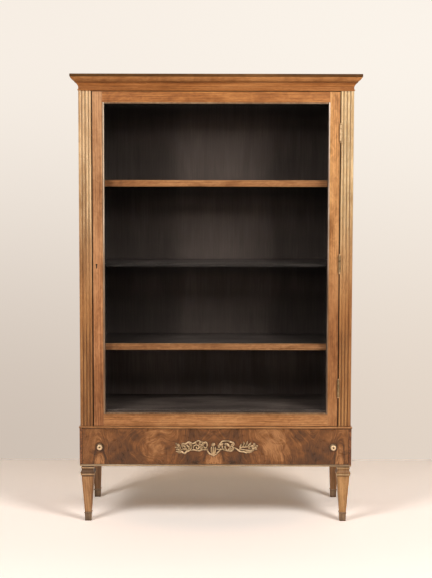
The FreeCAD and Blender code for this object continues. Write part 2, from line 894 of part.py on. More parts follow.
def drawer():
    blank = box(
        "drawer_front_blank",
        (-x_drawer_front, y_base, z_drawer + s.drawer_front_gap),
        (x_drawer_front, y_drawer_box, z_waist - s.drawer_front_gap),
    )
    close = s.joint_gap.value / 2
    soft = rounded(
        "drawer_front_soft",
        blank,
        s.drawer_edge_radius,
        lambda edge: all(abs(v.Point.y - y_base.value) < close for v in edge.Vertexes),
    )
    x_groove = x_drawer_inner + s.groove_depth
    cuts = [bottom_groove(
        "drawer_front_groove",
        (-x_groove, y_drawer_box - s.groove_depth),
        (x_groove, y_drawer_box + s.cut_overrun),
    )]
    for side, sign in SIDES:
        cuts.append(cylinder(
            f"{side}_knob_hole",
            (x_knob * sign + s.knob_shift, y_drawer_box + s.cut_overrun, z_knob),
            s.knob_shank_radius + s.knob_shank_gap,
            s.drawer_front_thickness + s.cut_overrun * 2,
            FACING_FRONT,
        ))
    node("drawer_front", cut("drawer_front", soft, cuts))

    for side, sign in SIDES:
        low, high = span(sign, x_drawer_inner, x_drawer)
        board = box(
            f"drawer_{side}_blank",
            (low, y_drawer_box, z_drawer_box),
            (high, y_drawer_end, z_drawer_top),
        )
        low, high = span(sign, x_drawer_inner - s.cut_overrun, x_groove)
        groove = bottom_groove(
            f"drawer_{side}_groove",
            (low, y_drawer_box - s.cut_overrun),
            (high, y_drawer_end + s.cut_overrun),
        )
        node(f"drawer_{side}_side", cut(f"drawer_{side}_side", board, [groove]))

    node("drawer_back", box(
        "drawer_back",
        (-x_drawer_inner, y_drawer_end - s.drawer_side_thickness, z_bottom + s.drawer_bottom_thickness),
        (x_drawer_inner, y_drawer_end, z_drawer_top),
    ))
    reach = x_groove - s.groove_gap
    node("drawer_bottom", box(
        "drawer_bottom",
        (-reach, y_drawer_box - s.groove_depth + s.groove_gap, z_bottom),
        (reach, y_drawer_end, z_bottom + s.drawer_bottom_thickness),
    ))


def knob_body(name):
    """A turned knob about its own Z axis, with the drawer's face at Z zero and the head at the top."""
    body = doc.addObject("PartDesign::Body", name)
    profile = body_sketch(body, f"{name}_profile", "XZ_Plane")
    shank_end = -(s.drawer_front_thickness + s.nut_thickness)
    head_low = s.knob_head_start
    edge_low = head_low + s.knob_head_edge
    outline(profile, [
        (0, shank_end),
        (s.knob_shank_radius, shank_end),
        (s.knob_shank_radius, 0),
        (s.knob_plate_radius, 0),
        (s.knob_plate_radius - s.knob_plate_thickness / 2, s.knob_plate_thickness),
        (s.knob_neck_radius, s.knob_plate_thickness),
        (s.knob_neck_radius, head_low),
        (s.knob_head_radius, edge_low, s.knob_under_radius, 1),
        (s.knob_dimple_radius, s.knob_length, s.knob_crown_radius, 1),
        (0, s.knob_length - s.knob_dimple_depth),
    ])
    turning = body.newObject("PartDesign::Revolution", f"{name}_turning")
    turning.Profile = profile
    turning.ReferenceAxis = (profile, ["V_Axis"])
    turning.Angle = 360
    body.Tip = turning
    return body


def knobs():
    nuts = []
    for side, sign in SIDES:
        x = x_knob * sign + s.knob_shift
        node(f"{side}_knob", place(knob_body(f"{side}_knob_body"), (x, y_base, z_knob), FACING_FRONT))
        base = (x, y_drawer_box + s.nut_thickness, z_knob)
        disc = cylinder(f"{side}_nut_blank", base, s.nut_radius, s.nut_thickness, FACING_FRONT)
        start = (x, y_drawer_box + s.nut_thickness + s.cut_overrun, z_knob)
        reach = s.nut_thickness + s.cut_overrun * 2
        bore_radius = s.knob_shank_radius + s.knob_shank_gap
        bore = cylinder(f"{side}_nut_bore", start, bore_radius, reach, FACING_FRONT)
        nuts.append(cut(f"{side}_nut", disc, [bore]))
    node("knob_nuts", group("knob_nuts", nuts))


# Scroll mount on the drawer front

z_mount = z_drawer + s.mount_rise


def mount_band(name, x, z, radius, start, sweep):
    """A flat curved band, part of a ring that faces the front."""
    turn = FACING_FRONT.multiply(FreeCAD.Rotation(Z_AXIS, start))
    disc = cylinder(f"{name}_disc", (x, y_base, z), radius + s.mount_band / 2, s.mount_thickness, turn, sweep)
    base = (x, y_base + s.cut_overrun, z)
    inner = cylinder(f"{name}_hole", base, radius - s.mount_band / 2,
                     s.mount_thickness + s.cut_overrun * 2, FACING_FRONT)
    return cut(name, disc, [inner])


def mount_leaf(name, x, z, long_share, wide_share, turn):
    """A pointed leaf between two equal arcs that meet at its ends."""
    half = s.mount_height * (long_share / 2)
    radius_share = (long_share ** 2 + wide_share ** 2) / (4 * wide_share)
    radius = s.mount_height * radius_share
    rotation = FACING_FRONT.multiply(FreeCAD.Rotation(Z_AXIS, turn))
    points = [(half, 0, radius, 1), (-half, 0, radius, 1)]
    return prism(name, points, s.mount_thickness, (x, y_base, z), rotation)


def scroll_mount():
    solids = [cylinder("mount_cup", (s.mount_shift, y_base, z_mount), s.mount_cup_width / 2,
                       s.mount_cup_thickness, FACING_FRONT)]
    for side, sign, length in (("left", -1, s.mount_left_length), ("right", 1, s.mount_right_length)):
        for index, (along, up, radius, start, sweep) in enumerate(mount_band_shares, start=1):
            angle = start if sign > 0 else 180 - start - sweep
            x = s.mount_shift + length * (along * sign)
            z = z_mount + s.mount_height * up
            band_radius = s.mount_height * radius
            solids.append(mount_band(f"mount_{side}_band_{index}", x, z, band_radius, angle, sweep))
        for index, (along, up, long, wide, turn) in enumerate(mount_leaf_shares, start=1):
            x = s.mount_shift + length * (along * sign)
            z = z_mount + s.mount_height * up
            angle = turn if sign > 0 else 180 - turn
            solids.append(mount_leaf(f"mount_{side}_leaf_{index}", x, z, long, wide, angle))
    node("scroll_mount", fuse("scroll_mount", solids))


# Door

def tenon(name, sign, rail_low, rail_high, gap):
    """A rail's end tenon, or with a gap the mortise that takes it."""
    y_low = y_front + (s.door_thickness - s.tenon_thickness) / 2
    low, high = span(sign, x_sight - gap, x_sight + s.tenon_length + gap)
    return box(
        name,
        (low, y_low - gap, rail_low + s.tenon_shoulder - gap),
        (high, y_low + s.tenon_thickness + gap, rail_high - s.tenon_shoulder + gap),
    )


def door_frame():
    y_rear = y_front + s.door_thickness
    rails = {"top": (z_sight_high, z_door_high), "bottom": (z_door_low, z_sight_low)}
    for name, (low, high) in rails.items():
        blank = box(f"{name}_rail_blank", (-x_sight, y_front, low), (x_sight, y_rear, high))
        tenons = [tenon(f"{name}_{side}_tenon", sign, low, high, NO_GAP) for side, sign in SIDES]
        node(f"door_{name}_rail", fuse(f"door_{name}_rail", [blank] + tenons))
    for name, (side, sign) in zip(("lock", "hinge"), SIDES):
        low, high = span(sign, x_sight, x_door)
        blank = box(f"{name}_stile_blank", (low, y_front, z_door_low), (high, y_rear, z_door_high))
        cuts = [tenon(f"{name}_{rail}_mortise", sign, *rails[rail], s.tenon_gap) for rail in rails]
        cuts += lock_recess() if name == "lock" else screw_holes("door")
        node(f"door_{name}_stile", cut(f"door_{name}_stile", blank, cuts))


def opening_strips(prefix, y_low, depth):
    """Four mitred strips round the inside of the door frame."""
    wide = s.bead_width
    inner_x = x_sight - wide
    low, high = z_sight_low, z_sight_high
    plans = {
        "bottom": [(-x_sight, low), (x_sight, low), (inner_x, low + wide), (-inner_x, low + wide)],
        "top": [(-inner_x, high - wide), (inner_x, high - wide), (x_sight, high), (-x_sight, high)],
        "left": [(-x_sight, low), (-inner_x, low + wide), (-inner_x, high - wide), (-x_sight, high)],
        "right": [(x_sight, low), (x_sight, high), (inner_x, high - wide), (inner_x, low + wide)],
    }
    base = (0, y_low + depth, 0)
    return {
        side: prism(f"{prefix}_{side}_strip", plan, depth, base, FACING_FRONT)
        for side, plan in plans.items()
    }


y_bead = y_front + s.bead_setback
y_glass = y_bead + s.bead_depth + s.glass_seat_gap
y_glass_stop = y_glass + s.glass_thickness + s.glass_seat_gap


def glazing():
    inner_x = (x_sight - s.bead_width).value
    inner_low = (z_sight_low + s.bead_width).value
    inner_high = (z_sight_high - s.bead_width).value
    close = s.joint_gap.value / 2

    def sight_edge(edge):
        """The strip's front edge along the opening."""
        points = [vertex.Point for vertex in edge.Vertexes]
        front = all(abs(p.y - y_bead.value) < close for p in points)
        inside = all(abs(p.x) < inner_x + close for p in points)
        level = all(inner_low - close < p.z < inner_high + close for p in points)
        return front and inside and level

    beads = opening_strips("bead", y_bead, s.bead_depth)
    soft = [rounded(f"bead_{side}", strip, s.bead_radius, sight_edge) for side, strip in beads.items()]
    node("sight_beads", group("sight_beads", soft))
    stop_depth = y_front + s.door_thickness - y_glass_stop
    stops = opening_strips("stop", y_glass_stop, stop_depth)
    node("glass_stops", group("glass_stops", list(stops.values())))

    half = x_sight - s.glass_edge_gap
    low = z_sight_low + s.glass_edge_gap
    high = z_sight_high - s.glass_edge_gap
    bevel = doc.addObject("Part::Wedge", "glass_bevel")
    edges = {
        "Xmin": -half + s.glass_bevel_width,
        "Xmax": half - s.glass_bevel_width,
        "Zmin": low + s.glass_bevel_width,
        "Zmax": high - s.glass_bevel_width,
        "X2min": -half,
        "X2max": half,
        "Z2min": low,
        "Z2max": high,
        "Ymin": y_glass,
        "Ymax": y_glass + s.glass_bevel_depth,
    }
    for prop, length in edges.items():
        setattr(bevel, prop, length.value)
        bind(bevel, prop, length)
    sheet_glass = box(
        "glass_sheet",
        (-half, y_glass + s.glass_bevel_depth, low),
        (half, y_glass + s.glass_thickness, high),
    )
    node("glass_pane", fuse("glass_pane", [bevel, sheet_glass]))


# Hinges

KNUCKLES = 5


def screw_rows():
    """Height offset and depth of each screw in a leaf."""
    reach = s.hinge_length / 2 - s.screw_end_margin
    middle = y_front + s.leaf_width / 2
    for offset, shift in ((-reach, s.screw_radius), (reach * 0, -s.screw_radius), (reach, s.screw_radius)):
        yield offset, middle + shift


def screw_places():
    for name, height in hinge_heights.items():
        for index, (offset, y) in enumerate(screw_rows(), start=1):
            yield f"{name}_{index}", y, height + offset


def leaf_faces(carrier):
    """Inner and outer X of a leaf: it lies on the wood that carries it."""
    if carrier == "post":
        return x_opening - leaf_thickness, x_opening
    return x_door, x_door + leaf_thickness


def screw(name, carrier, y, z, gap):
    """A countersunk screw through a leaf into the wood, or with a gap the hole for it."""
    inner, outer = leaf_faces(carrier)
    if carrier == "post":
        face, rotation, tip = inner, ALONG_X, inner + s.screw_length
    else:
        face, rotation, tip = outer, ALONG_MINUS_X, outer - s.screw_length
    head = cone(f"{name}_head", (face, y, z), s.screw_head_radius + gap, s.screw_radius + gap,
                leaf_thickness, rotation)
    shank = cylinder(f"{name}_shank", (face, y, z), s.screw_radius + gap, s.screw_length + gap, rotation)
    return fuse(name, [head, shank])


def screw_holes(carrier):
    return [
        screw(f"{carrier}_{name}_pilot", carrier, y, z, s.screw_gap)
        for name, y, z in screw_places()
    ]


def leaf(name, carrier, height):
    """A hinge leaf with its share of the knuckles, bored for the pin and the screws."""
    inner, outer = leaf_faces(carrier)
    z_low = height - s.hinge_length / 2
    z_high = height + s.hinge_length / 2
    y_plate = y_axis + s.knuckle_radius + s.leaf_clearance
    pitch = s.hinge_length / KNUCKLES
    solids = [box(f"{name}_plate", (inner, y_plate, z_low), (outer, y_front + s.leaf_width, z_high))]
    first = 0 if carrier == "post" else 1
    for index in range(first, KNUCKLES, 2):
        start = z_low + pitch * index + s.knuckle_gap / 2
        end = z_low + pitch * (index + 1) - s.knuckle_gap / 2
        solids.append(box(f"{name}_tail_{index}", (inner, y_axis, start), (outer, y_plate, end)))
        base = (x_axis, y_axis, start)
        solids.append(cylinder(f"{name}_knuckle_{index}", base, s.knuckle_radius, end - start))
    base = (x_axis, y_axis, z_low - s.cut_overrun)
    bore_height = s.hinge_length + s.cut_overrun * 2
    cuts = [cylinder(f"{name}_bore", base, s.pin_radius + s.pin_gap, bore_height)]
    for index, (offset, y) in enumerate(screw_rows(), start=1):
        cuts.append(screw(f"{name}_hole_{index}", carrier, y, height + offset, s.screw_gap))
    return cut(name, fuse(f"{name}_blank", solids), cuts)


def hinge_pin(name, height):
    """A pin with a ball at each end of the barrel."""
    z_low = height - s.hinge_length / 2
    shaft = cylinder(f"{name}_shaft", (x_axis, y_axis, z_low - s.knuckle_gap), s.pin_radius,
                     s.hinge_length + s.knuckle_gap * 2)
    low = ball(f"{name}_foot", (x_axis, y_axis, z_low - s.finial_radius), s.finial_radius)
    high = ball(f"{name}_head", (x_axis, y_axis, z_low + s.hinge_length + s.finial_radius), s.finial_radius)
    return fuse(name, [shaft, low, high])


def hinges():
    pins = []
    for position, height in hinge_heights.items():
        for carrier in ("post", "door"):
            name = f"{position}_hinge_{carrier}_leaf"
            node(name, leaf(name, carrier, height))
        pins.append(hinge_pin(f"{position}_hinge_pin", height))
    node("hinge_pins", group("hinge_pins", pins))
    for carrier in ("post", "door"):
        screws = [
            screw(f"{carrier}_{name}_screw", carrier, y, z, NO_GAP)
            for name, y, z in screw_places()
        ]
        node(f"hinge_{carrier}_screws", group(f"hinge_{carrier}_screws", screws))


# Lock

def lock_blocks(prefix, gap):
    """The lock's case and face plate, or with a gap the mortise that takes them."""
    z_low = z_key - s.lock_length / 2
    case = box(
        f"{prefix}_case",
        (-x_door + s.lock_plate_thickness, y_lock - gap, z_low - gap),
        (-x_door + s.lock_depth + gap, y_lock + s.lock_thickness + gap, z_low + s.lock_length + gap),
    )
    z_plate = z_key - s.lock_plate_length / 2
    y_plate = y_lock + (s.lock_thickness - s.lock_plate_width) / 2
    plate = box(
        f"{prefix}_plate",
        (-x_door, y_plate - gap, z_plate - gap),
        (-x_door + s.lock_plate_thickness + gap, y_plate + s.lock_plate_width + gap,
         z_plate + s.lock_plate_length + gap),
    )
    return [case, plate]


def keyhole(prefix, y_end):
    """A round hole with a slot under it, from the front face inwards."""
    depth = y_end - y_front + s.cut_overrun
    hole = cylinder(f"{prefix}_keyhole", (x_key, y_end, z_key), s.keyhole_radius, depth, FACING_FRONT)
    slot = box(
        f"{prefix}_key_slot",
        (x_key - s.keyhole_slot_width / 2, y_front - s.cut_overrun, z_key - s.keyhole_slot_length),
        (x_key + s.keyhole_slot_width / 2, y_end, z_key),
    )
    return [hole, slot]


def lock_recess():
    return lock_blocks("lock_mortise", s.tenon_gap) + keyhole("stile", y_lock + s.lock_thickness / 2)


def bolt_channel(name, gap, x_low, x_high):
    """A bar of the bolt's section, or with a gap the channel it slides in."""
    y_middle = y_lock + s.lock_thickness / 2
    y_low = y_middle - s.bolt_thickness / 2 - gap
    z_low = z_bolt - s.bolt_height / 2 - gap
    return box(
        name,
        (x_low, y_low, z_low),
        (x_high, y_low + s.bolt_thickness + gap * 2, z_low + s.bolt_height + gap * 2),
    )


def lock():
    x_bolt_end = -x_door + s.bolt_length
    cuts = [bolt_channel("lock_channel", s.bolt_gap, -x_door - s.cut_overrun, x_bolt_end + s.bolt_gap)]
    cuts += keyhole("lock", y_lock + s.lock_thickness / 2)
    chamber_end = y_lock + (s.lock_thickness + s.key_chamber_depth) / 2
    cuts.append(cylinder("key_chamber", (x_key, chamber_end, z_key - s.keyhole_slot_length / 2),
                         s.key_chamber_radius, s.key_chamber_depth, FACING_FRONT))
    blank = fuse("lock_case_blank", lock_blocks("lock", NO_GAP))
    node("lock_case", cut("lock_case", blank, cuts))
    node("lock_bolt", bolt_channel("lock_bolt", NO_GAP, -x_door, x_bolt_end))
    keep_blank = keep_plate("keep_blank", NO_GAP)
    hole = bolt_channel("keep_hole", s.bolt_gap, -x_opening - s.lock_depth, -x_opening + s.cut_overrun)
    node("lock_keep", cut("lock_keep", keep_blank, [hole]))


def keep_plate(name, gap):
    """The plate let into the left pilaster, which the bolt shoots through."""
    y_low = y_lock + (s.lock_thickness - s.lock_plate_width) / 2
    z_low = z_bolt - s.keep_length / 2
    return box(
        name,
        (-x_opening - s.lock_plate_thickness, y_low - gap, z_low - gap),
        (-x_opening, y_low + s.lock_plate_width + gap, z_low + s.keep_length + gap),
    )


def keep_recess():
    """The recess for the keep plate and the pocket for the bolt, cut into the left pilaster."""
    shell = keep_plate("keep_recess", s.tenon_gap)
    pocket = bolt_channel(
        "bolt_pocket",
        s.bolt_gap,
        -x_door - s.bolt_travel - s.bolt_gap * 2,
        -x_opening + s.cut_overrun,
    )
    return [shell, pocket]


side_panels()
pilasters()
back_boards()
floor_and_ceiling()
shelves()
cornice()
top_board()
legs()
base_floor()
base_case()
drawer()
knobs()
scroll_mount()
door_frame()
glazing()
hinges()
lock()

doc.recompute()
for obj in doc.Objects:
    if "Invalid" in obj.State or "Error" in obj.State:
        raise RuntimeError(f"{obj.Label} failed: {obj.State}")
for name, obj in nodes.items():
    if obj.Shape.isNull() or not obj.Shape.isValid():
        raise RuntimeError(f"{name} has no valid shape")

os.makedirs("parts", exist_ok=True)
for name, obj in nodes.items():
    obj.Shape.exportStep(f"parts/{name}.step")
print(len(nodes), "pieces written")
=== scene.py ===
import json
import math
from types import SimpleNamespace

import bmesh
import bpy
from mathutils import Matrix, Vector


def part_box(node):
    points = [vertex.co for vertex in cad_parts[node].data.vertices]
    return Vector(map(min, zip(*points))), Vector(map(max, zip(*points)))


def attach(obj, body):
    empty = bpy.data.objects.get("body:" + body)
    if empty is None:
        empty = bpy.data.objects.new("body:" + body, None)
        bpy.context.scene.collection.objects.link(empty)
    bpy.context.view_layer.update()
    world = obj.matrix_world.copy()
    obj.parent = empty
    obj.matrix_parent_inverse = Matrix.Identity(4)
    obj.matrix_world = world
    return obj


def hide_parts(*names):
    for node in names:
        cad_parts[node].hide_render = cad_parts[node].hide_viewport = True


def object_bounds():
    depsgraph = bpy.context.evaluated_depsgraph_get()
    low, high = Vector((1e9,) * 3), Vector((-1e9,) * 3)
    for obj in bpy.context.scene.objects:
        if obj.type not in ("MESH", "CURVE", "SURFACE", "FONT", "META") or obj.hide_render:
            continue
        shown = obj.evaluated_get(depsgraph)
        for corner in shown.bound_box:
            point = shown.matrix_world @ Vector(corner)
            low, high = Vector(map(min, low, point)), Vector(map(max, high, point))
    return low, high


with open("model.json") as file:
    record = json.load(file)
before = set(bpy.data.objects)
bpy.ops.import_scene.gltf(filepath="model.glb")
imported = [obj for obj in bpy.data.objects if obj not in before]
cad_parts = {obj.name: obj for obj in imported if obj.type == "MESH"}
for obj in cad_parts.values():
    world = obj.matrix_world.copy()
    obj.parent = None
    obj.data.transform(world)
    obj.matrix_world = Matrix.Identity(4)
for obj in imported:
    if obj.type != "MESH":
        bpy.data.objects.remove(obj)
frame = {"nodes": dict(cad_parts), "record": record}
CAD_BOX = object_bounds()
NODES = frame["nodes"]
MM = 0.001


def mm(*lengths):
    return tuple(length * MM for length in lengths)


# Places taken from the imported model

DRAWER_LOW, DRAWER_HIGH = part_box("drawer_front")
PILASTER_LOW, PILASTER_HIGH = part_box("left_pilaster")
CORNICE_LOW, CORNICE_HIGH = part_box("cornice_front")
SHELF_LOW, SHELF_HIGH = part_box("lower_shelf")
SIGHT_LOW, SIGHT_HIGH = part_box("sight_beads")
LEG_LOW, LEG_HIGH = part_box("front_right_leg")
BOARDS_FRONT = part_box("back_board_centre")[0].y
CASE_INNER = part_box("case_floor")[1].x
DOOR_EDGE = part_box("door_hinge_stile")[1].x
CASE_TOP = CAD_BOX[1].z


# Camera, at the photograph's viewing point

IMAGE_HEIGHT = 578
FOCAL_PIXELS = 1193.0
SENSOR_MM = 36.0
CAMERA_PLACE = (0.0, -4.1406, 1.1012)
CAMERA_DIP = math.radians(4.45)
CAMERA_ROLL = -0.0019


def link(obj):
    bpy.context.scene.collection.objects.link(obj)
    return obj


def make_camera():
    data = bpy.data.cameras.new("camera")
    data.sensor_width = SENSOR_MM
    data.lens = FOCAL_PIXELS * SENSOR_MM / IMAGE_HEIGHT
    camera = link(bpy.data.objects.new("camera", data))
    camera.location = CAMERA_PLACE
    camera.rotation_euler = (math.pi / 2 - CAMERA_DIP, CAMERA_ROLL, 0)
    bpy.context.scene.camera = camera


# Node trees

EDGE_SAMPLES = 6
EDGE_TURNS = (0.999, 0.86)
RECESS_SHADES = (0.95, 0.45)


def math_method(operation, flipped=False):
    def method(self, other=0.0):
        return self.tree.math(operation, *((other, self) if flipped else (self, other)))
    return method


class Signal:
    """A number in a node tree. Working with it adds math nodes to the tree."""

    def __init__(self, tree, socket):
        self.tree = tree
        self.socket = socket

    __add__ = math_method("ADD")
    __radd__ = math_method("ADD", flipped=True)
    __sub__ = math_method("SUBTRACT")
    __rsub__ = math_method("SUBTRACT", flipped=True)
    __mul__ = math_method("MULTIPLY")
    __truediv__ = math_method("DIVIDE")
    __pow__ = math_method("POWER")
    __abs__ = math_method("ABSOLUTE")
    root = math_method("SQRT")
    zigzag = math_method("PINGPONG")
    over = math_method("MAXIMUM")
    under = math_method("MINIMUM")

    def spread(self, low, high, to_low=0.0, to_high=1.0):
        """Map low..high to to_low..to_high, clamped, with soft ends."""
        values = (self, low, high, to_low, to_high)
        made = self.tree.node("ShaderNodeMapRange", values, interpolation_type="SMOOTHSTEP")
        return Signal(self.tree, made.outputs[0])


class Tree:
    """A node tree, with short calls for the nodes that the finishes share."""

    def __init__(self, tree):
        self.nodes = tree.nodes
        self.links = tree.links

    def feed(self, socket, value):
        if isinstance(value, Signal):
            value = value.socket
        if isinstance(value, bpy.types.NodeSocket):
            self.links.new(value, socket)
        else:
            socket.default_value = value

    def node(self, kind, values=(), **settings):
        made = self.nodes.new(kind)
        for key, setting in settings.items():
            setattr(made, key, setting)
        for socket, value in zip(made.inputs, values):
            self.feed(socket, value)
        return made

    def fill(self, made, **inputs):
        """Set or link a node's inputs, named with _ for spaces."""
        for key, value in inputs.items():
            self.feed(made.inputs[key.replace("_", " ")], value)
        return made

    def place(self):
        return self.node("ShaderNodeTexCoord").outputs["Object"]

    def split(self, vector):
        return [Signal(self, socket) for socket in self.node("ShaderNodeSeparateXYZ", [vector]).outputs]

    def xyz(self):
        return self.split(self.place())

    def join(self, x, y, z):
        return self.node("ShaderNodeCombineXYZ", (x, y, z)).outputs[0]

    def grey(self, level):
        return self.join(level, level, level)

    def math(self, operation, first, second=0.0, clamp=False):
        made = self.node("ShaderNodeMath", (first, second), operation=operation, use_clamp=clamp)
        return Signal(self, made.outputs[0])

    def noise(self, vector, scale=1.0, detail=3.0, roughness=0.5, distortion=0.0):
        made = self.fill(self.node("ShaderNodeTexNoise"), Vector=vector, Scale=scale, Detail=detail,
                         Roughness=roughness, Distortion=distortion)
        return Signal(self, made.outputs["Fac"])

    def ramp(self, factor, stops):
        made = self.node("ShaderNodeValToRGB", [factor])
        elements = made.color_ramp.elements
        while len(elements) < len(stops):
            elements.new(0.5)
        for element, (position, colour) in zip(elements, stops):
            element.position = position
            element.color = (*colour, 1.0)
        return made.outputs["Color"]

    def mix(self, factor, first, second, blend="MIX"):
        made = self.node("ShaderNodeMix", data_type="RGBA", blend_type=blend)
        for index, value in ((0, factor), (6, first), (7, second)):
            self.feed(made.inputs[index], (*value, 1.0) if isinstance(value, tuple) else value)
        return made.outputs[2]

    def openness(self, distance, samples=8, local=False):
        """How open a place is: one in the open, and less in corners and recesses."""
        made = self.node("ShaderNodeAmbientOcclusion", samples=samples, only_local=local)
        return Signal(self, self.fill(made, Distance=distance).outputs["AO"])

    def hollows(self, distance, local=True):
        """A mask of recesses: the piece's own, or beside its neighbours too."""
        return self.openness(distance, EDGE_SAMPLES, local).spread(*RECESS_SHADES)

    def soft_edges(self, radius):
        """The normal with edges rounded, and a mask of where edges turn outwards or inwards."""
        rounded = self.fill(self.node("ShaderNodeBevel", samples=EDGE_SAMPLES), Radius=radius).outputs[0]
        normal = self.node("ShaderNodeNewGeometry").outputs["Normal"]
        made = self.node("ShaderNodeVectorMath", (rounded, normal), operation="DOT_PRODUCT")
        return rounded, Signal(self, made.outputs["Value"]).spread(*EDGE_TURNS)

    def bump(self, height, strength, distance, **normal):
        made = self.node("ShaderNodeBump")
        return self.fill(made, Strength=strength, Distance=distance, Height=height, **normal).outputs[0]

    def emission(self, colour):
        return self.fill(self.node("ShaderNodeEmission"), Color=colour).outputs[0]

    def any_ray(self, *kinds):
        """One for rays of any of these kinds."""
        path = self.node("ShaderNodeLightPath")
        first, *others = (Signal(self, path.outputs[kind]) for kind in kinds)
        for other in others:
            first = first.over(other)
        return first

    def seen_ray(self):
        """One where a ray is seen straight, mirrored or through glass."""
        return self.any_ray("Is Camera Ray", "Is Glossy Ray", "Is Transmission Ray")

    def choose(self, factor, first, second):
        return self.node("ShaderNodeMixShader", (factor, first, second)).outputs[0]


class Shader(Tree):
    """The node tree of a new material."""

    def __init__(self, name):
        self.material = bpy.data.materials.new(name)
        self.material.use_nodes = True
        super().__init__(self.material.node_tree)
        self.surface = self.nodes["Principled BSDF"]

    def set(self, **inputs):
        self.fill(self.surface, **inputs)
        return self.material

    def show(self, shown):
        """Show this in place of the main shader alone."""
        self.fill(self.nodes["Material Output"], Surface=shown)
        return self.material


# Lights: one softbox on each side of the camera, an even fill and a lamp behind the wall

SOFTBOX_SIZE = 1.1
SOFTBOX_PLACE = (1.77, -2.17, 2.24)
SOFTBOX_AIM_Y = -0.17
SOFTBOX_WATTS = {"left": 48.0, "right": 57.0}
LIGHT_COLOUR = (1.0, 0.965, 0.92)
BACK_LAMP_PLACE = (0.0, 3.4, 1.9)
BACK_LAMP_SIZE = 1.6
BACK_LAMP_WATTS = 55.0
FILL_COLOUR = (1.0, 0.97, 0.94, 1.0)
FILL_STRENGTH = 0.045
BACKGROUND_COLOUR = (0.66, 0.6, 0.54, 1.0)
FLAG_FOOT_Y = -1.9
FLAG_HEAD_Y = -2.6
FLAG_HALF = 0.66
FLAG_TOP = 1.7
FLAG_COLOUR = (0.012, 0.012, 0.013, 1.0)


def make_lamp(name, size, watts, place, target_y):
    data = bpy.data.lights.new(name, "AREA")
    data.size = size
    data.energy = watts
    data.color = LIGHT_COLOUR
    lamp = link(bpy.data.objects.new(name, data))
    lamp.location = place
    aim = Vector((0, target_y, CASE_TOP / 2)) - lamp.location
    lamp.rotation_euler = aim.to_track_quat("-Z", "Y").to_euler()
    lamp.visible_camera = False
    return lamp


def make_softbox(side, sign):
    x, y, z = SOFTBOX_PLACE
    make_lamp(f"softbox_{side}", SOFTBOX_SIZE, SOFTBOX_WATTS[side], (x * sign, y, z), SOFTBOX_AIM_Y)


def make_back_lamp():
    """Light for views from behind. It reaches the case through the wall, and nothing else."""
    lamp = make_lamp("back_lamp", BACK_LAMP_SIZE, BACK_LAMP_WATTS, BACK_LAMP_PLACE, CAD_BOX[1].y)
    case = bpy.data.collections.new("lit_from_behind")
    for piece in NODES.values():
        case.objects.link(piece)
    lamp.light_linking.receiver_collection = case
    lamp.light_linking.blocker_collection = case


def make_world():
    """Even fill light, with a pale background for the rays that are seen."""
    world = bpy.data.worlds.new("studio")
    world.use_nodes = True
    bpy.context.scene.world = world
    tree = Tree(world.node_tree)
    fill = tree.fill(tree.nodes["Background"], Color=FILL_COLOUR, Strength=FILL_STRENGTH)
    seen = tree.fill(tree.node("ShaderNodeBackground"), Color=BACKGROUND_COLOUR)
    shown = tree.choose(tree.seen_ray(), fill.outputs[0], seen.outputs[0])
    tree.fill(tree.nodes["World Output"], Surface=shown)


def make_sheet(name, corners, faces, material):
    mesh = bpy.data.meshes.new(name)
    mesh.from_pydata(corners, [], faces)
    mesh.materials.append(material)
    return link(bpy.data.objects.new(name, mesh))


def make_flag():
    """A dark card that keeps glare off the pane. Only mirrored rays meet it."""
    card = Shader("flag_card").set(Base_Color=FLAG_COLOUR, Roughness=1.0, Specular_IOR_Level=0.0)
    corners = [(-FLAG_HALF, FLAG_FOOT_Y, 0), (FLAG_HALF, FLAG_FOOT_Y, 0),
               (FLAG_HALF, FLAG_HEAD_Y, FLAG_TOP), (-FLAG_HALF, FLAG_HEAD_Y, FLAG_TOP)]
    flag = make_sheet("flag", corners, [(0, 1, 2, 3)], card)
    for ray in ("camera", "diffuse", "volume_scatter", "shadow"):
        setattr(flag, f"visible_{ray}", False)


# Wood

GRAIN_ORDER = {"X": "YZX", "Y": "ZXY", "Z": "XYZ"}
NO_TINT = (1.0, 1.0, 1.0)
# Noise in a board: scale across and along the grain, and the noise's own settings
MEANDER = ((9.0, 1.6), {"detail": 2.0})
STREAKS = ((260.0, 7.0), {"detail": 4.0, "roughness": 0.6})
BLOTCHES = ((22.0, 4.5), {"detail": 3.0, "distortion": 0.6})
MOTTLE = ((62.0, 30.0), {"detail": 5.0, "roughness": 0.62, "distortion": 1.4})
PORES = ((1500.0, 60.0), {"detail": 1.0})
PORE_SIZES = (0.62, 0.7)
PORE_DEPTH = 0.35
# Weights of rings, streaks and blotches in the tone, of streaks and blotches in the gloss and in the stain,
# and of streaks, pores and rings in the relief
TONE_WEIGHTS = (0.26, 1.1, 1.5)
GLOSS_WEIGHTS = (0.25, 0.3)
STAIN_WEIGHTS = (0.45, 0.4)
RELIEF_WEIGHTS = (0.6, -0.8, 0.15)
GLOSS_RANGE = (0.2, 0.8)
GLOSS_LESS, GLOSS_MORE = 0.08, 0.12
RELIEF = (0.25, 0.35 * MM)
COAT_SHARE = 0.3
COAT_ROUGHNESS = 0.22
DIRT_AND_SHADE_REACH = 5 * MM
WEAR_PATCHES = 34.0
WEAR_PATCHINESS = (0.32, 0.66, 0.25, 1.0)


def along_grain(shader, grain, offset):
    """Object coordinates with the grain along the third one, moved by the piece's own offset."""
    parts = shader.xyz()
    return [parts["XYZ".index(axis)] + move for axis, move in zip(GRAIN_ORDER[grain], offset)]


def stretched(parts, across, along):
    u, v, w = parts
    return u.tree.join(u * across, v * across, w * along)


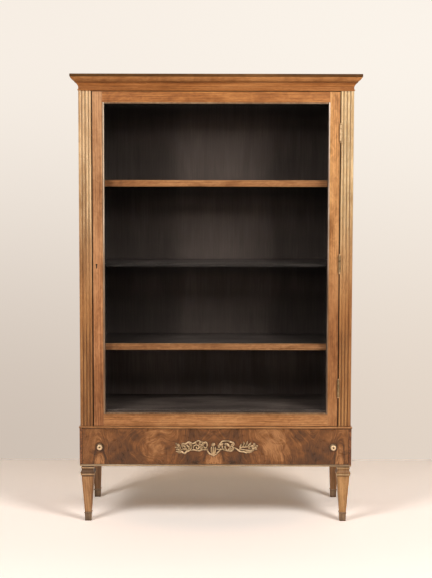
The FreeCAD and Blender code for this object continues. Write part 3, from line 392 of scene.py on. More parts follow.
def wood_tone(shader, parts, ring, figure):
    """Growth rings, fibre streaks, blotches, mottling and pores of one board, each from 0 to 1."""
    u, v, _ = parts
    meander, streaks, blotches, mottle, pores = (
        shader.noise(stretched(parts, *scales), **settings)
        for scales, settings in (MEANDER, STREAKS, BLOTCHES, MOTTLE, PORES))
    heart = (u * u + v * v).root()
    rings = (heart / ring + meander * figure).zigzag(0.5) * 2.0
    return rings, streaks, blotches, mottle, pores.spread(*PORE_SIZES)


def weighted(masks, weights):
    """The sum of masks times their weights, about a middle of a half."""
    total = 0.5
    for mask, weight in zip(masks, weights):
        total = (mask - 0.5) * weight + total
    return total


def blended(factor, first, second):
    return factor * (second - first) + first


def times(colour, tint):
    return tuple(c * t for c, t in zip(colour, tint))


def wood_material(name, kind, grain, offset, tint=NO_TINT, inside=None, cast=None):
    """A board's finish, darker in its recesses and beside other parts, which are dirty and given painted
    shade, stained dark with painted light and shade where inside(shader) says, and with its colour multiplied
    by cast(shader).
    """
    shader = Shader(name)
    parts = along_grain(shader, grain, offset)
    rings, streaks, blotches, mottle, pores = wood_tone(shader, parts, kind.ring, kind.figure)
    tone = weighted((rings, streaks, blotches, mottle), (*TONE_WEIGHTS, kind.mottle))
    colour = shader.ramp(tone, [(position, times(stop, tint)) for position, stop in kind.stops])
    colour = shader.mix(pores * PORE_DEPTH, colour, kind.grime)
    edge_normal, edges = shader.soft_edges(kind.wear_radius)
    # Dirty places and painted shade: recesses, and places beside other parts, are made darker
    recess = shader.hollows(DIRT_AND_SHADE_REACH, local=False)
    lively = kind.wear
    if kind.sunk is not None:
        recess = recess.over(kind.sunk(shader))
    if kind.calm is not None:
        stir = 1.0 - kind.calm(shader)
        recess = recess * stir
        lively = stir * kind.wear
    patchy = shader.noise(shader.place(), WEAR_PATCHES, detail=4.0).spread(*WEAR_PATCHINESS)
    worn = edges * shader.math("SUBTRACT", 1.0, recess, clamp=True)
    # Places given a painted highlight, paled like wear
    if kind.rubbed is not None:
        worn = worn.over(kind.rubbed(shader))
    colour = shader.mix(worn * (patchy * lively), colour, times(kind.worn, tint))
    colour = shader.mix(recess * kind.dirt, colour, kind.grime)
    if cast is not None:
        colour = shader.mix(1.0, colour, cast(shader), "MULTIPLY")
    # Painted light and shade on the inside of the case
    if kind.gloomy:
        colour = paint_inside_light(shader, colour)
    # Inner faces take the dark stain with painted light and shade on it
    if inside is not None:
        stain = shader.ramp(weighted((streaks, blotches), STAIN_WEIGHTS), STAIN_STOPS)
        colour = shader.mix(inside(shader), colour, paint_inside_light(shader, stain))
    rough = weighted((streaks, blotches), GLOSS_WEIGHTS)
    relief = weighted((streaks, pores, rings), RELIEF_WEIGHTS)
    return shader.set(
        Base_Color=colour,
        Roughness=rough.spread(*GLOSS_RANGE, kind.gloss - GLOSS_LESS, kind.gloss + GLOSS_MORE),
        Specular_IOR_Level=kind.polish,
        Coat_Weight=kind.polish * COAT_SHARE,
        Coat_Roughness=COAT_ROUGHNESS,
        Normal=shader.bump(relief, *RELIEF, Normal=edge_normal),
    )


# Dark stain of the inside, with painted light and shade on it

SHELVES = ("case_floor", "lower_shelf", "middle_shelf", "upper_shelf", "case_ceiling")
STAIN_STOPS = [(0.15, (0.061, 0.043, 0.038)), (0.5, (0.133, 0.097, 0.087)), (0.9, (0.254, 0.193, 0.174))]
INSIDE_SHADE_REACH = 0.22
INSIDE_CORNER_SHADE = (0.4, 0.8, 0.84, 1.28)
# Painted light on the stain: how pale it is painted in each compartment, from the lowest, and from the floor
# of one to its ceiling
COMPARTMENT_LIGHT_LEVELS = (1.05, 0.78, 1.0, 1.0)
LOWEST_PAINTED_LIGHT = [(0, 0.85), (0.25, 0.86), (0.42, 0.94), (0.64, 0.86), (0.77, 0.72), (0.89, 0.48), (1, 0.4)]
UPPER_PAINTED_LIGHT = [(0, 0.7), (0.25, 0.66), (0.42, 0.86), (0.64, 1.2), (0.77, 1.0), (0.89, 0.53), (1, 0.42)]
# Painted light across the case: where it is palest, where painted shade darkens it to each side, and its
# levels within and beyond
PAINTED_LIGHT_MIDDLE = 26 * MM
PAINTED_LIGHT_SIDES = mm(120, 215)
UPPER_LIGHT_ACROSS = (1.1, 0.76)
LOWEST_LIGHT_ACROSS = (1.1, 1.36)


def by_height(low, high, levels):
    """A mask that changes between low and high, given at heights in millimetres above low."""
    stops = [(z * MM / (high - low), (level,) * 3) for z, level in levels]

    def mask(shader):
        height = shader.math("DIVIDE", shader.xyz()[2] - low, high - low, clamp=True)
        return shader.split(shader.ramp(height, stops))[0]
    return mask


def painted_light_levels():
    """Levels of painted light on the stain by height in millimetres, from compartment to compartment."""
    shelves = [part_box(name) for name in SHELVES]
    levels = []
    for index, ((_, floor), (ceiling, _)) in enumerate(zip(shelves, shelves[1:])):
        levels += [((floor.z + (ceiling.z - floor.z) * share) / MM, COMPARTMENT_LIGHT_LEVELS[index] * shade)
                   for share, shade in (UPPER_PAINTED_LIGHT if index else LOWEST_PAINTED_LIGHT)]
    return levels


def paint_inside_light(shader, colour):
    """Painted light and shade on a stain: darker towards the corners of a compartment, and different from one
    compartment to the next.
    """
    level = shader.openness(INSIDE_SHADE_REACH).spread(*INSIDE_CORNER_SHADE)
    level = level * by_height(0.0, CASE_TOP, painted_light_levels())(shader)
    x, _, z = shader.xyz()
    aside = abs(x - PAINTED_LIGHT_MIDDLE)
    across = blended(z.spread(SHELF_HIGH.z, SHELF_LOW.z), aside.spread(*PAINTED_LIGHT_SIDES, *UPPER_LIGHT_ACROSS),
                     aside.spread(*PAINTED_LIGHT_SIDES, *LOWEST_LIGHT_ACROSS))
    return shader.mix(1.0, colour, shader.grey(level * across), "MULTIPLY")


# Places with wear and dust, dirty places, and places given painted light and shade. Masks and casts are
# functions of the shader

MIDDLE_HALF = (-CASE_INNER / 2, CASE_INNER / 2)
# Painted light: the heights over which it grows paler up the case
LIGHT_FADE_HEIGHTS = (0.7, 1.22)
# Sight beads: a painted highlight on the lip of the uprights, painted shadow lines, and the tints of this
# painted light and shade
BEAD_WIDTH = 5.5 * MM
BEAD_HIGHLIGHT = mm(3.6, 3)
BEAD_SHADE = 2.4 * MM
BEAD_SIDE_SHADOW = mm(0.2, -0.4)
BEAD_TOP_SHADOW = mm(1.6, 0.8)
BEAD_LIGHT_AND_SHADE = SimpleNamespace(top=(0.62, 0.54, 0.44), bottom=(0.44, 0.36, 0.28), left=(0.7, 0.68, 0.6),
                       right=(0.8, 0.82, 0.8), left_highlight=(1.55, 1.75, 1.95), right_highlight=(1.9, 2.4, 3.2),
                       low_highlight=(0.55, 0.5, 0.47), shade=(0.16, 0.14, 0.13))
# Painted light and shade on the cornice by height in millimetres above its foot, and its painted shadow lines
CORNICE_LIGHT_LEVELS = [(0, 0.84), (11, 0.84), (15, 0.82), (18, 1.06), (23, 1.1), (26, 0.98), (44, 1.0)]
CORNICE_SHADOW_LINES = [(12, 0.0), (14, 0.22), (16, 0.0), (26.5, 0.0), (28, 0.85), (30.5, 0.7), (33, 0.0),
                 (42.5, 0.0), (44, 0.5)]
CORNICE_BEAD = CORNICE_LOW.z + 7 * MM
CORNICE_ROUND = CORNICE_HIGH.z - 15 * MM
CORNICE_SOFT = 1.5 * MM
# Front legs: rings paled by wear and painted highlight, hollows darkened by painted shade, by height, and the
# shaft's half width at its foot and head
LEG_RINGS = [mm(159.5, 165), mm(182.5, 187.5)]
LEG_SHADED_HOLLOWS = [mm(154.5, 159), mm(166.5, 182), mm(188, 191)]
BAND_SOFT = 0.5 * MM
SHAFT_HEIGHTS = mm(31, 155)
SHAFT_HALVES = mm(11.3, 20.6)
SHAFT_CORNER_SHADE = (0.72, 0.96, 0.0, 0.44)
SHAFT_SOFT = 2 * MM
# Shoes: levels by height, darker towards the floor, and tints of painted light, paler on the right
SHOE_LEVELS = [(0, 0.62), (10, 0.84), (18, 1.0), (31, 1.0)]
SHOE_SIDE_LIGHT = ((1.07, 1.06, 1.05), (1.5, 1.46, 1.46))


def along(axis, *numbers, mirrored=False):
    """A mask that spreads along one axis, on both sides alike where it is mirrored."""
    def mask(shader):
        place = shader.xyz()["XYZ".index(axis)]
        return (abs(place) if mirrored else place).spread(*numbers)
    return mask


def both(first, second):
    return lambda shader: first(shader) * second(shader)


def either(first, second):
    return lambda shader: first(shader).over(second(shader))


def bands(heights, level=1.0):
    """A mask of some ranges of height."""
    masks = [both(along("Z", low - BAND_SOFT, low + BAND_SOFT),
                  along("Z", high + BAND_SOFT, high - BAND_SOFT, 0.0, level)) for low, high in heights]
    return lambda shader: sum(mask(shader) for mask in masks)


def shaft_corner_shade(shader):
    """Painted shade on the corners of a front leg's shaft."""
    x, _, z = shader.xyz()
    (foot, head), (narrow, wide) = SHAFT_HEIGHTS, SHAFT_HALVES
    aside = abs(abs(x) - (LEG_LOW.x + LEG_HIGH.x) / 2)
    half = (z - foot) * ((wide - narrow) / (head - foot)) + narrow
    return (aside / half).spread(*SHAFT_CORNER_SHADE) * z.spread(head, head - SHAFT_SOFT)


# Where a side panel and a back board face the inside of the case
inner_side = along("X", CASE_INNER + 1 * MM, CASE_INNER + 0.5 * MM, mirrored=True)
inner_face = along("Y", BOARDS_FRONT + 1 * MM, BOARDS_FRONT + 0.5 * MM)
# Dust along the bead on the door's bottom rail, and the door's face darker along its outer edges, less towards
# the top
sill = along("Z", SIGHT_LOW.z - 9 * MM, SIGHT_LOW.z, 0.0, 0.9)
rim_level = along("Z", 1.15, 1.36, 1.0, 0.35)
door_rim = both(along("X", DOOR_EDGE - 2.4 * MM, DOOR_EDGE - 0.8 * MM, mirrored=True), rim_level)
# Pilasters: less wear, painted highlight and painted shade in the middle, painted shade where cut back at the
# flutes and at their outer edge, and darker at their seam by the door
mid_height = both(along("Z", 0.6, 0.7, 0.0, 0.62), along("Z", 1.02, 0.9))
pilaster_cut = along("Y", PILASTER_LOW.y + 0.3 * MM, PILASTER_LOW.y + 2.325 * MM)
pilaster_rim_shade = along("X", -PILASTER_LOW.x - 3.4 * MM, -PILASTER_LOW.x - 1.4 * MM, 0.0, 0.5, mirrored=True)
pilaster_seam = along("X", -PILASTER_HIGH.x + 2.2 * MM, -PILASTER_HIGH.x + 0.6 * MM, 0.0, 0.8, mirrored=True)
flutes = either(pilaster_cut, either(pilaster_rim_shade, both(pilaster_seam, rim_level)))
# Painted shadow lines along the cornice, and the bead at its foot and the round at its head, made pale by wear
# and painted highlight
cornice_shadow_lines = by_height(CORNICE_LOW.z, CORNICE_HIGH.z, CORNICE_SHADOW_LINES)
cornice_highlights = either(along("Z", CORNICE_BEAD, CORNICE_BEAD - CORNICE_SOFT, 0.0, 0.1),
                        along("Z", CORNICE_ROUND, CORNICE_ROUND + CORNICE_SOFT, 0.0, 0.5))
leg_rings = bands(LEG_RINGS)
leg_shaded_hollows = either(shaft_corner_shade, bands(LEG_SHADED_HOLLOWS, 0.95))


def painted_rising_light(low, high):
    """Painted light: a cast that goes from one tint to a paler one up the case, as light falls off downwards.
    """
    return lambda shader: shader.mix(shader.xyz()[2].spread(*LIGHT_FADE_HEIGHTS), low, high)


def sided(shader, left, right):
    """One tint on the left and another on the right, for painted light that is stronger on one side."""
    return shader.mix(shader.xyz()[0].spread(*MIDDLE_HALF), left, right)


def cornice_light_cast(shader):
    """Painted light and shade on the cornice: its neck darker than its mouldings."""
    return shader.grey(by_height(CORNICE_LOW.z, CORNICE_HIGH.z, CORNICE_LIGHT_LEVELS)(shader))


def shoe_cast(shader):
    """Shoes darker towards the floor, and paler on the right, which is painted light from the right."""
    level = by_height(0.0, SHAFT_HEIGHTS[0], SHOE_LEVELS)(shader)
    return shader.mix(1.0, sided(shader, *SHOE_SIDE_LIGHT), shader.grey(level), "MULTIPLY")


def bead_light_cast(shader):
    """Sight beads with painted light: browner along the rails, with a painted highlight on the lip of the
    uprights, painted shadow lines beside it and along the top, and paler higher up.
    """
    x, _, z = shader.xyz()
    out = abs(x) - (SIGHT_HIGH.x - BEAD_WIDTH)
    upright = out.spread(-1 * MM, 0.0)
    out = out - x.spread(*MIDDLE_HALF, 0.0, BEAD_SHADE)
    rise = z.spread(*LIGHT_FADE_HEIGHTS)
    lip = shader.mix(rise, BEAD_LIGHT_AND_SHADE.low_highlight, sided(shader, BEAD_LIGHT_AND_SHADE.left_highlight, BEAD_LIGHT_AND_SHADE.right_highlight))
    tint = shader.mix(out.spread(*BEAD_HIGHLIGHT), sided(shader, BEAD_LIGHT_AND_SHADE.left, BEAD_LIGHT_AND_SHADE.right), lip)
    tint = shader.mix(out.spread(*BEAD_SIDE_SHADOW), tint, BEAD_LIGHT_AND_SHADE.shade)
    head = z - (SIGHT_HIGH.z - BEAD_WIDTH)
    top = shader.mix(head.spread(*BEAD_TOP_SHADOW), BEAD_LIGHT_AND_SHADE.top, BEAD_LIGHT_AND_SHADE.shade)
    return shader.mix(upright, shader.mix(rise, BEAD_LIGHT_AND_SHADE.bottom, top), tint)


# Kinds of wood. Masks come from rubbed(shader) for places made pale by wear and painted highlight,
# sunk(shader) for dusty and dirty places and places of painted shade, and calm(shader) for places that get
# less of both

USUAL_WOOD = {
    "ring": 0.006, "figure": 5.0, "gloss": 0.42, "worn": (0.7, 0.5, 0.3), "wear": 0.5,
    "grime": (0.06, 0.028, 0.012), "dirt": 0.6, "wear_radius": 1.6 * MM, "mottle": 0.6, "polish": 0.4,
    "rubbed": None, "sunk": None, "calm": None, "gloomy": False,
}


def wood(*tones, **changes):
    """A kind of wood with dark, middle and pale tones, and changes from the usual one."""
    return SimpleNamespace(**{**USUAL_WOOD, "stops": list(zip((0.1, 0.5, 0.9), tones)), **changes})


WALNUT_TONES = ((0.235, 0.088, 0.026), (0.455, 0.2, 0.076), (0.66, 0.34, 0.152))
LEG_TONES = ((0.19, 0.078, 0.026), (0.4, 0.185, 0.073), (0.56, 0.3, 0.135))
WALNUT = wood(*WALNUT_TONES, mottle=1.0)
STILE = wood(*WALNUT_TONES, mottle=1.0, sunk=door_rim)
SILL = wood(*WALNUT_TONES, mottle=1.0, dirt=0.36, sunk=sill)
# Pilasters: fillets paled with wear and painted highlight, flutes and edges darkened with painted shade
PILASTER = wood((0.26, 0.11, 0.036), (0.45, 0.215, 0.085), (0.64, 0.36, 0.165),
                worn=(0.86, 0.6, 0.34), wear=0.95, wear_radius=2.4 * MM, dirt=0.72,
                grime=(0.15, 0.065, 0.024), sunk=flutes, calm=mid_height)
RED_WALNUT = wood((0.222, 0.069, 0.013), (0.4, 0.142, 0.035), (0.575, 0.236, 0.073),
                  ring=0.005, worn=(0.89, 0.42, 0.15), wear=0.85, polish=0.2,
                  grime=(0.072, 0.026, 0.006), rubbed=cornice_highlights, sunk=cornice_shadow_lines)
WAIST_WALNUT = wood((0.225, 0.09, 0.026), (0.45, 0.2, 0.072), (0.62, 0.32, 0.13),
                    worn=(0.8, 0.54, 0.29), wear=0.9, dirt=0.35)
BASE_VENEER = wood((0.062, 0.021, 0.009), (0.19, 0.066, 0.023), (0.4, 0.155, 0.053),
                   ring=0.011, figure=9.0, gloss=0.3, worn=(0.34, 0.17, 0.08), mottle=1.2)
DARK_TOP = wood((0.06, 0.025, 0.006), (0.12, 0.05, 0.013), (0.195, 0.088, 0.028),
                gloss=0.58, worn=(0.3, 0.16, 0.07), wear=0.35, polish=0.12)
PALE_BEAD = wood((0.3, 0.175, 0.095), (0.52, 0.345, 0.215), (0.74, 0.56, 0.4),
                 worn=(0.95, 0.76, 0.57), wear=0.75)
PALE_EDGE = wood((0.18, 0.095, 0.042), (0.33, 0.195, 0.105), (0.52, 0.36, 0.225),
                 worn=(0.66, 0.5, 0.33), wear=0.7)
REAR_LEG = wood(*LEG_TONES, worn=(0.66, 0.46, 0.26), wear=0.6)
LEFT_LEG = wood(*LEG_TONES, worn=(0.74, 0.53, 0.32), wear=0.75, dirt=0.88, rubbed=leg_rings, sunk=leg_shaded_hollows)
RIGHT_LEG = wood(*LEG_TONES, worn=(0.5, 0.36, 0.23), wear=0.7, dirt=0.52, rubbed=leg_rings, sunk=leg_shaded_hollows)
DARK_SHOE = wood((0.08, 0.046, 0.024), (0.195, 0.118, 0.064), (0.33, 0.215, 0.128),
                 worn=(0.46, 0.32, 0.19), wear=0.55)
STAINED = wood(stops=STAIN_STOPS, gloss=0.5, worn=(0.22, 0.17, 0.145), wear=0.4, dirt=0.4, polish=0.12,
               gloomy=True)
PLAIN_TIMBER = wood((0.3, 0.185, 0.09), (0.48, 0.33, 0.18), (0.62, 0.46, 0.28),
                    ring=0.009, gloss=0.62, worn=(0.6, 0.46, 0.3), wear=0.3, dirt=0.35, polish=0.12)


# Figured veneer of the drawer front, in two mirrored leaves. Centres and reaches are along the leaf and up it

LEAF_JOINT = -5 * MM
LEAF_SLIP = mm(150, 400, 0, 38)
LEAF_DRIFT = 14 * MM
LEAF_DRIFTS = 4.0
WARP_ALONG = {"scale": 12.0, "detail": 4.0}
WARP_UP = {"scale": 15.0, "detail": 4.0, "distortion": 0.4}
BENDS = mm(46, 40)
CORE_BENDS = mm(18, 16)
FLAME_X = 387 * MM
FLAME_ARCHES = ((FLAME_X, -20 * MM), mm(27, 60))
FLAME_REACH = mm(100, 45)
MIDDLE_ARCHES = (mm(0, -46), mm(24, 26))
MIDDLE_REACH = mm(72, 30)
MIDDLE_CORE = (mm(0, -62), mm(29, 46))
CORE_FOOT = -62 * MM
SWIRL = (mm(232, 12), mm(85, 60))
SWIRL_REACH = (1.5, 0.6)
SWIRL_STRENGTH = (*mm(-20, 120), 0.4, 0.1)
SWIRL_LINES = 3.0
LEANING_LINES = (34.0, 15.0)
# What differs between the left and the right flame, and how much paler the clouds are
LEFT_TO_RIGHT = mm(-100, 100)
CORE_HALVES = mm(18, 15)
CORE_CROWNS = mm(46, 72)
CLOUD_LIFTS = (0.08, 0.17)
CLOUD_DROP = -0.19
CORE_EDGE = (1.04, 0.72)
CORE_LIFT = 0.5
FIBRES_ACROSS, FIBRES_UP = 190.0, 16.0
FIBRE_TONES = (0.36, 0.6, 0.05, 1.0)
OUTLINE_INSIDE, OUTLINE_OUTSIDE = (0.98, 1.12), (1.45, 1.18)
OUTLINE_DROP = -0.22
PALE_CLOUDS = [(mm(195, 5), mm(85, 95))]
DARK_CLOUDS = [(mm(92, -48), mm(66, 40)), (mm(58, -50), mm(24, 34)),
               (mm(322, -34), mm(62, 56)), (mm(268, 40), mm(60, 40))]
CLOUD_EDGE = (1.0, 0.15)
# Lines of the figure: how many, how uneven, and the noise's own settings
FIGURE_LINES = (4.2, 9.0, {"detail": 5.0, "roughness": 0.58})
FINE_LINES = (15.0, 26.0, {"detail": 3.0, "roughness": 0.6})
VENEER_MOTTLE = {"scale": 30.0, "detail": 5.0, "roughness": 0.6, "distortion": 1.2}
VENEER_DRIFTS = {"scale": 8.0, "detail": 2.0, "distortion": 0.5}
# Weights of the figure's lines, fine lines, mottling and drifts in its tone
FIGURE_WEIGHTS = (0.75, 0.8, 0.8, 0.7)
VENEER_STOPS = [(0.08, (0.05, 0.023, 0.0115)), (0.36, (0.138, 0.052, 0.0165)),
                (0.62, (0.285, 0.106, 0.0305)), (0.92, (0.56, 0.255, 0.098))]
VENEER_PORE_COUNT = 900.0
VENEER_PORES = (0.6, 0.72, 0.0, 0.4)
VENEER_PORE = (0.05, 0.022, 0.011)
VENEER_WORN = (0.3, 0.15, 0.07)
VENEER_WEAR = 0.5
VENEER_EDGE = 1.2 * MM
# Painted shade, with dirty wax, on the veneer around the mount and knobs: its colour, reach and spread
VENEER_SHADE_COLOUR = (0.03, 0.013, 0.005)
VENEER_SHADE_REACH = 15 * MM
VENEER_SHADE_EDGE = (0.96, 0.66, 0.0, 0.9)
VENEER_GLOSS = (0.3, 0.7, 0.26, 0.38)
VENEER_RELIEF = (0.06, 0.3 * MM)


def from_centre(x, z, centre, reach):
    return (x - centre[0]) / reach[0], (z - centre[1]) / reach[1]


def eye(x, z, centre, reach):
    """Elliptical distance from a centre."""
    across, up = from_centre(x, z, centre, reach)
    return (across * across + up * up).root()


def arched(x, z, centre, reach):
    """Distance from a centre that has straighter sides and a blunter crown."""
    across, up = from_centre(x, z, centre, reach)
    return (abs(across) ** 3.0 + abs(up) ** 3.0) ** (1 / 3)


def arches(x, z, centre, reach):
    """Nested arches that open downwards, counted from the one whose crown is at the centre."""
    across, up = from_centre(x, z, centre, reach)
    return across * across + up


def clouds(x, z, places):
    return sum(eye(x, z, *place).spread(*CLOUD_EDGE) for place in places)


def figured_veneer():
    """Crotch veneer with flames in the middle and under each knob."""
    shader = Shader("figured_veneer")
    x, _, z = shader.xyz()
    z = z - (DRAWER_LOW.z + DRAWER_HIGH.z) / 2
    drift = shader.noise(shader.place(), LEAF_DRIFTS) * LEAF_DRIFT - LEAF_DRIFT / 2
    folded = abs(x - LEAF_JOINT) - x.spread(*LEAF_SLIP) + drift
    leaf = shader.join(folded, 0.0, z)
    warp_x, warp_z = shader.noise(leaf, **WARP_ALONG) - 0.5, shader.noise(leaf, **WARP_UP) - 0.5
    bent_x, bent_z = warp_x * BENDS[0] + folded, warp_z * BENDS[1] + z
    core_x, core_z = warp_x * CORE_BENDS[0] + folded, warp_z * CORE_BENDS[1] + z

    swirl = eye(bent_x, bent_z, *SWIRL)
    field = bent_x * LEANING_LINES[0] + bent_z * LEANING_LINES[1]
    field = blended(swirl.spread(*SWIRL_REACH) * x.spread(*SWIRL_STRENGTH), field, swirl * SWIRL_LINES)
    field = blended(abs(bent_x - FLAME_X).spread(*FLAME_REACH), field, arches(bent_x, bent_z, *FLAME_ARCHES))
    field = blended(bent_x.spread(*MIDDLE_REACH), field, arches(bent_x, bent_z, *MIDDLE_ARCHES))
    lines, fine = (shader.noise(shader.join(field * count, bent_x * scale, bent_z * scale), **settings)
                   for count, scale, settings in (FIGURE_LINES, FINE_LINES))
    mottle, drifts = shader.noise(leaf, **VENEER_MOTTLE), shader.noise(leaf, **VENEER_DRIFTS)

    core_reach = (x.spread(*LEFT_TO_RIGHT, *CORE_HALVES), x.spread(*LEFT_TO_RIGHT, *CORE_CROWNS))
    flame_core = arched(core_x, core_z, (FLAME_X, CORE_FOOT), core_reach)
    nearest = flame_core.under(arched(core_x, core_z, *MIDDLE_CORE))
    outline = nearest.spread(*OUTLINE_INSIDE) * nearest.spread(*OUTLINE_OUTSIDE)
    fibres = shader.noise(shader.join(bent_x * FIBRES_ACROSS, 0.0, bent_z * FIBRES_UP))
    core = nearest.spread(*CORE_EDGE) * fibres.spread(*FIBRE_TONES)

    tone = weighted((lines, fine, mottle, drifts), FIGURE_WEIGHTS)
    tone = core * CORE_LIFT + tone
    tone = outline * OUTLINE_DROP + tone
    tone = clouds(bent_x, bent_z, PALE_CLOUDS) * x.spread(*LEFT_TO_RIGHT, *CLOUD_LIFTS) + tone
    tone = clouds(bent_x, bent_z, DARK_CLOUDS) * CLOUD_DROP + tone
    colour = shader.ramp(tone, VENEER_STOPS)
    pores = shader.noise(shader.join(bent_x, 0.0, bent_z), VENEER_PORE_COUNT, detail=1.0)
    colour = shader.mix(pores.spread(*VENEER_PORES), colour, VENEER_PORE)
    edge_normal, edges = shader.soft_edges(VENEER_EDGE)
    colour = shader.mix(edges * VENEER_WEAR, colour, VENEER_WORN)
    # Painted shade and dirty wax around the mount and knobs
    mount_shade = shader.openness(VENEER_SHADE_REACH).spread(*VENEER_SHADE_EDGE)
    return shader.set(
        Base_Color=shader.mix(mount_shade, colour, VENEER_SHADE_COLOUR),
        Roughness=mottle.spread(*VENEER_GLOSS),
        Specular_IOR_Level=0.32,
        Coat_Weight=0.15,
        Coat_Roughness=0.14,
        Normal=shader.bump(lines, *VENEER_RELIEF, Normal=edge_normal),
    )


# Metal and glass

SCRATCH_SCALES = (2600.0, 240.0)
SCRATCH_ROUGHNESS = 0.12
TARNISH = {"scale": 90.0, "detail": 5.0, "roughness": 0.65}
TARNISH_PATCHES = (0.42, 0.72)
RECESS_TARNISH = 0.9
EDGE_POLISH = 0.5
TARNISH_ROUGHNESS = 0.25
METAL_EDGE = 0.5 * MM
METAL_WEIGHTS = (0.3, 0.5)
METAL_RELIEF = (0.12, 0.2 * MM)
KNOB_DIMPLE = mm(3.4, 2.2)
KNOB_RIM_SHADE = (*mm(8, 9.6), 0.0, 0.8)
RIPPLES = 6.0
RIPPLE_RELIEF = (0.03, 2 * MM)
PANE_COLOUR = (0.96, 0.985, 0.975, 1.0)
PANE_GLARE = (0.16, 0.16, 0.16, 1.0)
PANE_LIGHT = (0.94, 0.96, 0.95, 1.0)


def metal(name, bright, dull, gloss, tarnish, depth=3 * MM, sunk=None):
    """Old scratched metal, brown in recesses and where sunk(shader) says."""
    shader = Shader(name)
    patches = shader.noise(shader.place(), **TARNISH)
    scratches = shader.noise(stretched(shader.xyz(), *SCRATCH_SCALES), detail=2.0)
    recess = shader.hollows(depth)
    if sunk is not None:
        recess = recess.over(sunk(shader))
    edge_normal, edges = shader.soft_edges(METAL_EDGE)
    spots = patches.spread(*TARNISH_PATCHES, 0.0, tarnish)
    dulled = shader.math("ADD", recess * RECESS_TARNISH, spots, clamp=True)
    dulled = shader.math("SUBTRACT", dulled, edges * EDGE_POLISH, clamp=True)
    return shader.set(
        Base_Color=shader.mix(dulled, bright, dull),
        Metallic=1.0,
        Roughness=(scratches - 0.5) * SCRATCH_ROUGHNESS + (dulled * TARNISH_ROUGHNESS + gloss),
        Normal=shader.bump(weighted((scratches, patches), METAL_WEIGHTS), *METAL_RELIEF, Normal=edge_normal),
    )


def knob_hollows(node):
    """A mask of a knob's dimple and rim: tarnish in the dimple, and tarnish and painted shade at the rim."""
    low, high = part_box(node)
    middle = ((low.x + high.x) / 2, (low.z + high.z) / 2)

    def sunk(shader):
        x, _, z = shader.xyz()
        away = eye(x, z, middle, (1.0, 1.0))
        return away.spread(*KNOB_DIMPLE).over(away.spread(*KNOB_RIM_SHADE))
    return sunk


def clear_glass():
    """An old clear pane that lets the lamps light the inside."""
    shader = Shader("clear_glass")
    ripple = shader.noise(shader.place(), RIPPLES, detail=1.0)
    shader.set(
        Base_Color=PANE_COLOUR,
        Roughness=0.0,
        IOR=1.4,
        Specular_Tint=PANE_GLARE,
        Transmission_Weight=1.0,
        Normal=shader.bump(ripple, *RIPPLE_RELIEF),
    )
    clear = shader.fill(shader.node("ShaderNodeBsdfTransparent"), Color=PANE_LIGHT)
    passing = shader.any_ray("Is Shadow Ray", "Is Diffuse Ray")
    return shader.show(shader.choose(passing, shader.surface.outputs[0], clear.outputs[0]))


# Floor and wall

WALL_Y = 0.84
ROOM_HALF = 7.0
ROOM_FRONT = -9.0
FLOOR_BACK = 9.0
WALL_TOP = 5.0
COVE_RADIUS = 0.05
COVE_STEPS = 8
FLOOR_COLOUR = (0.7, 0.65, 0.6)
WALL_COLOUR = (0.66, 0.615, 0.565)
PAPER_DRIFT = 0.975
# The floor as seen, paler than the light on it, with the shadow kept, paler towards the rear by painted light,
# and with a painted shadow under the case
FLOOR_FRONT, FLOOR_REAR, FLOOR_PAINTED_SHADOW = (1.53, 1.36, 1.27), (1.72, 1.59, 1.5), (1.31, 1.26, 1.23)
FLOOR_DEPTHS = (-0.6, 0.5)
PAINTED_SHADOW_PLACE = ((0.0, 0.12), (0.44, 0.42))
PAINTED_SHADOW_EDGE = (1.25, 0.7)
# Far from the object the floor is seen at one pale tone
FLOOR_FAR = (0.93, 0.86, 0.79, 1.0)
FLOOR_FAR_REACH = (1.7, 3.2)
# Wall colour as seen, with painted light: darker at the skirting and on the left, paler up the wall and on the
# right
WALL_SHADED_LOW = ((0.62, 0.53, 0.455), (0.76, 0.655, 0.56))
WALL_LIT_HIGH = ((0.93, 0.855, 0.775), (0.965, 0.9, 0.82))
WALL_LIGHT_FADE = 1.75


def paper(name, colour):
    shader = Shader(name)
    drift = shader.noise(shader.place(), 1.3, detail=2.0)
    stops = [(0.3, tuple(c * PAPER_DRIFT for c in colour)), (0.7, colour)]
    shader.set(Base_Color=shader.ramp(drift, stops), Roughness=0.8, Specular_IOR_Level=0.2)
    return shader


def wall_paper():
    """A wall seen at its own tone, with painted light paler up the wall and to the right, which views from
    behind pass through.
    """
    shader = paper("wall_paper", WALL_COLOUR)
    x, _, z = shader.xyz()
    across = x.spread(-1.0, 1.0)
    tone = shader.mix(z.spread(0.0, WALL_LIGHT_FADE), shader.mix(across, *WALL_SHADED_LOW), shader.mix(across, *WALL_LIT_HIGH))
    shown = shader.choose(shader.seen_ray(), shader.surface.outputs[0], shader.emission(tone))
    behind = shader.node("ShaderNodeNewGeometry").outputs["Backfacing"]
    clear = shader.node("ShaderNodeBsdfTransparent").outputs[0]
    return shader.show(shader.choose(behind, shown, clear))


def floor_paper():
    """A floor that is seen paler than the light on it, shadow and all, with a painted shadow under the case.
    """
    shader = paper("floor_paper", FLOOR_COLOUR)
    x, y, _ = shader.xyz()
    pale = shader.mix(y.spread(*FLOOR_DEPTHS), FLOOR_FRONT, FLOOR_REAR)
    under = eye(x, y, *PAINTED_SHADOW_PLACE).spread(*PAINTED_SHADOW_EDGE)
    colour = shader.mix(under, pale, FLOOR_PAINTED_SHADOW)
    lifted = shader.fill(shader.node("ShaderNodeBsdfDiffuse"), Color=colour)
    away = eye(x, y, (0.0, 0.0), (1.0, 1.0)).spread(*FLOOR_FAR_REACH)
    behind = y.spread(WALL_Y - COVE_RADIUS, WALL_Y)
    seen = shader.choose(away.over(behind), lifted.outputs[0], shader.emission(FLOOR_FAR))
    return shader.show(shader.choose(shader.seen_ray(), shader.surface.outputs[0], seen))


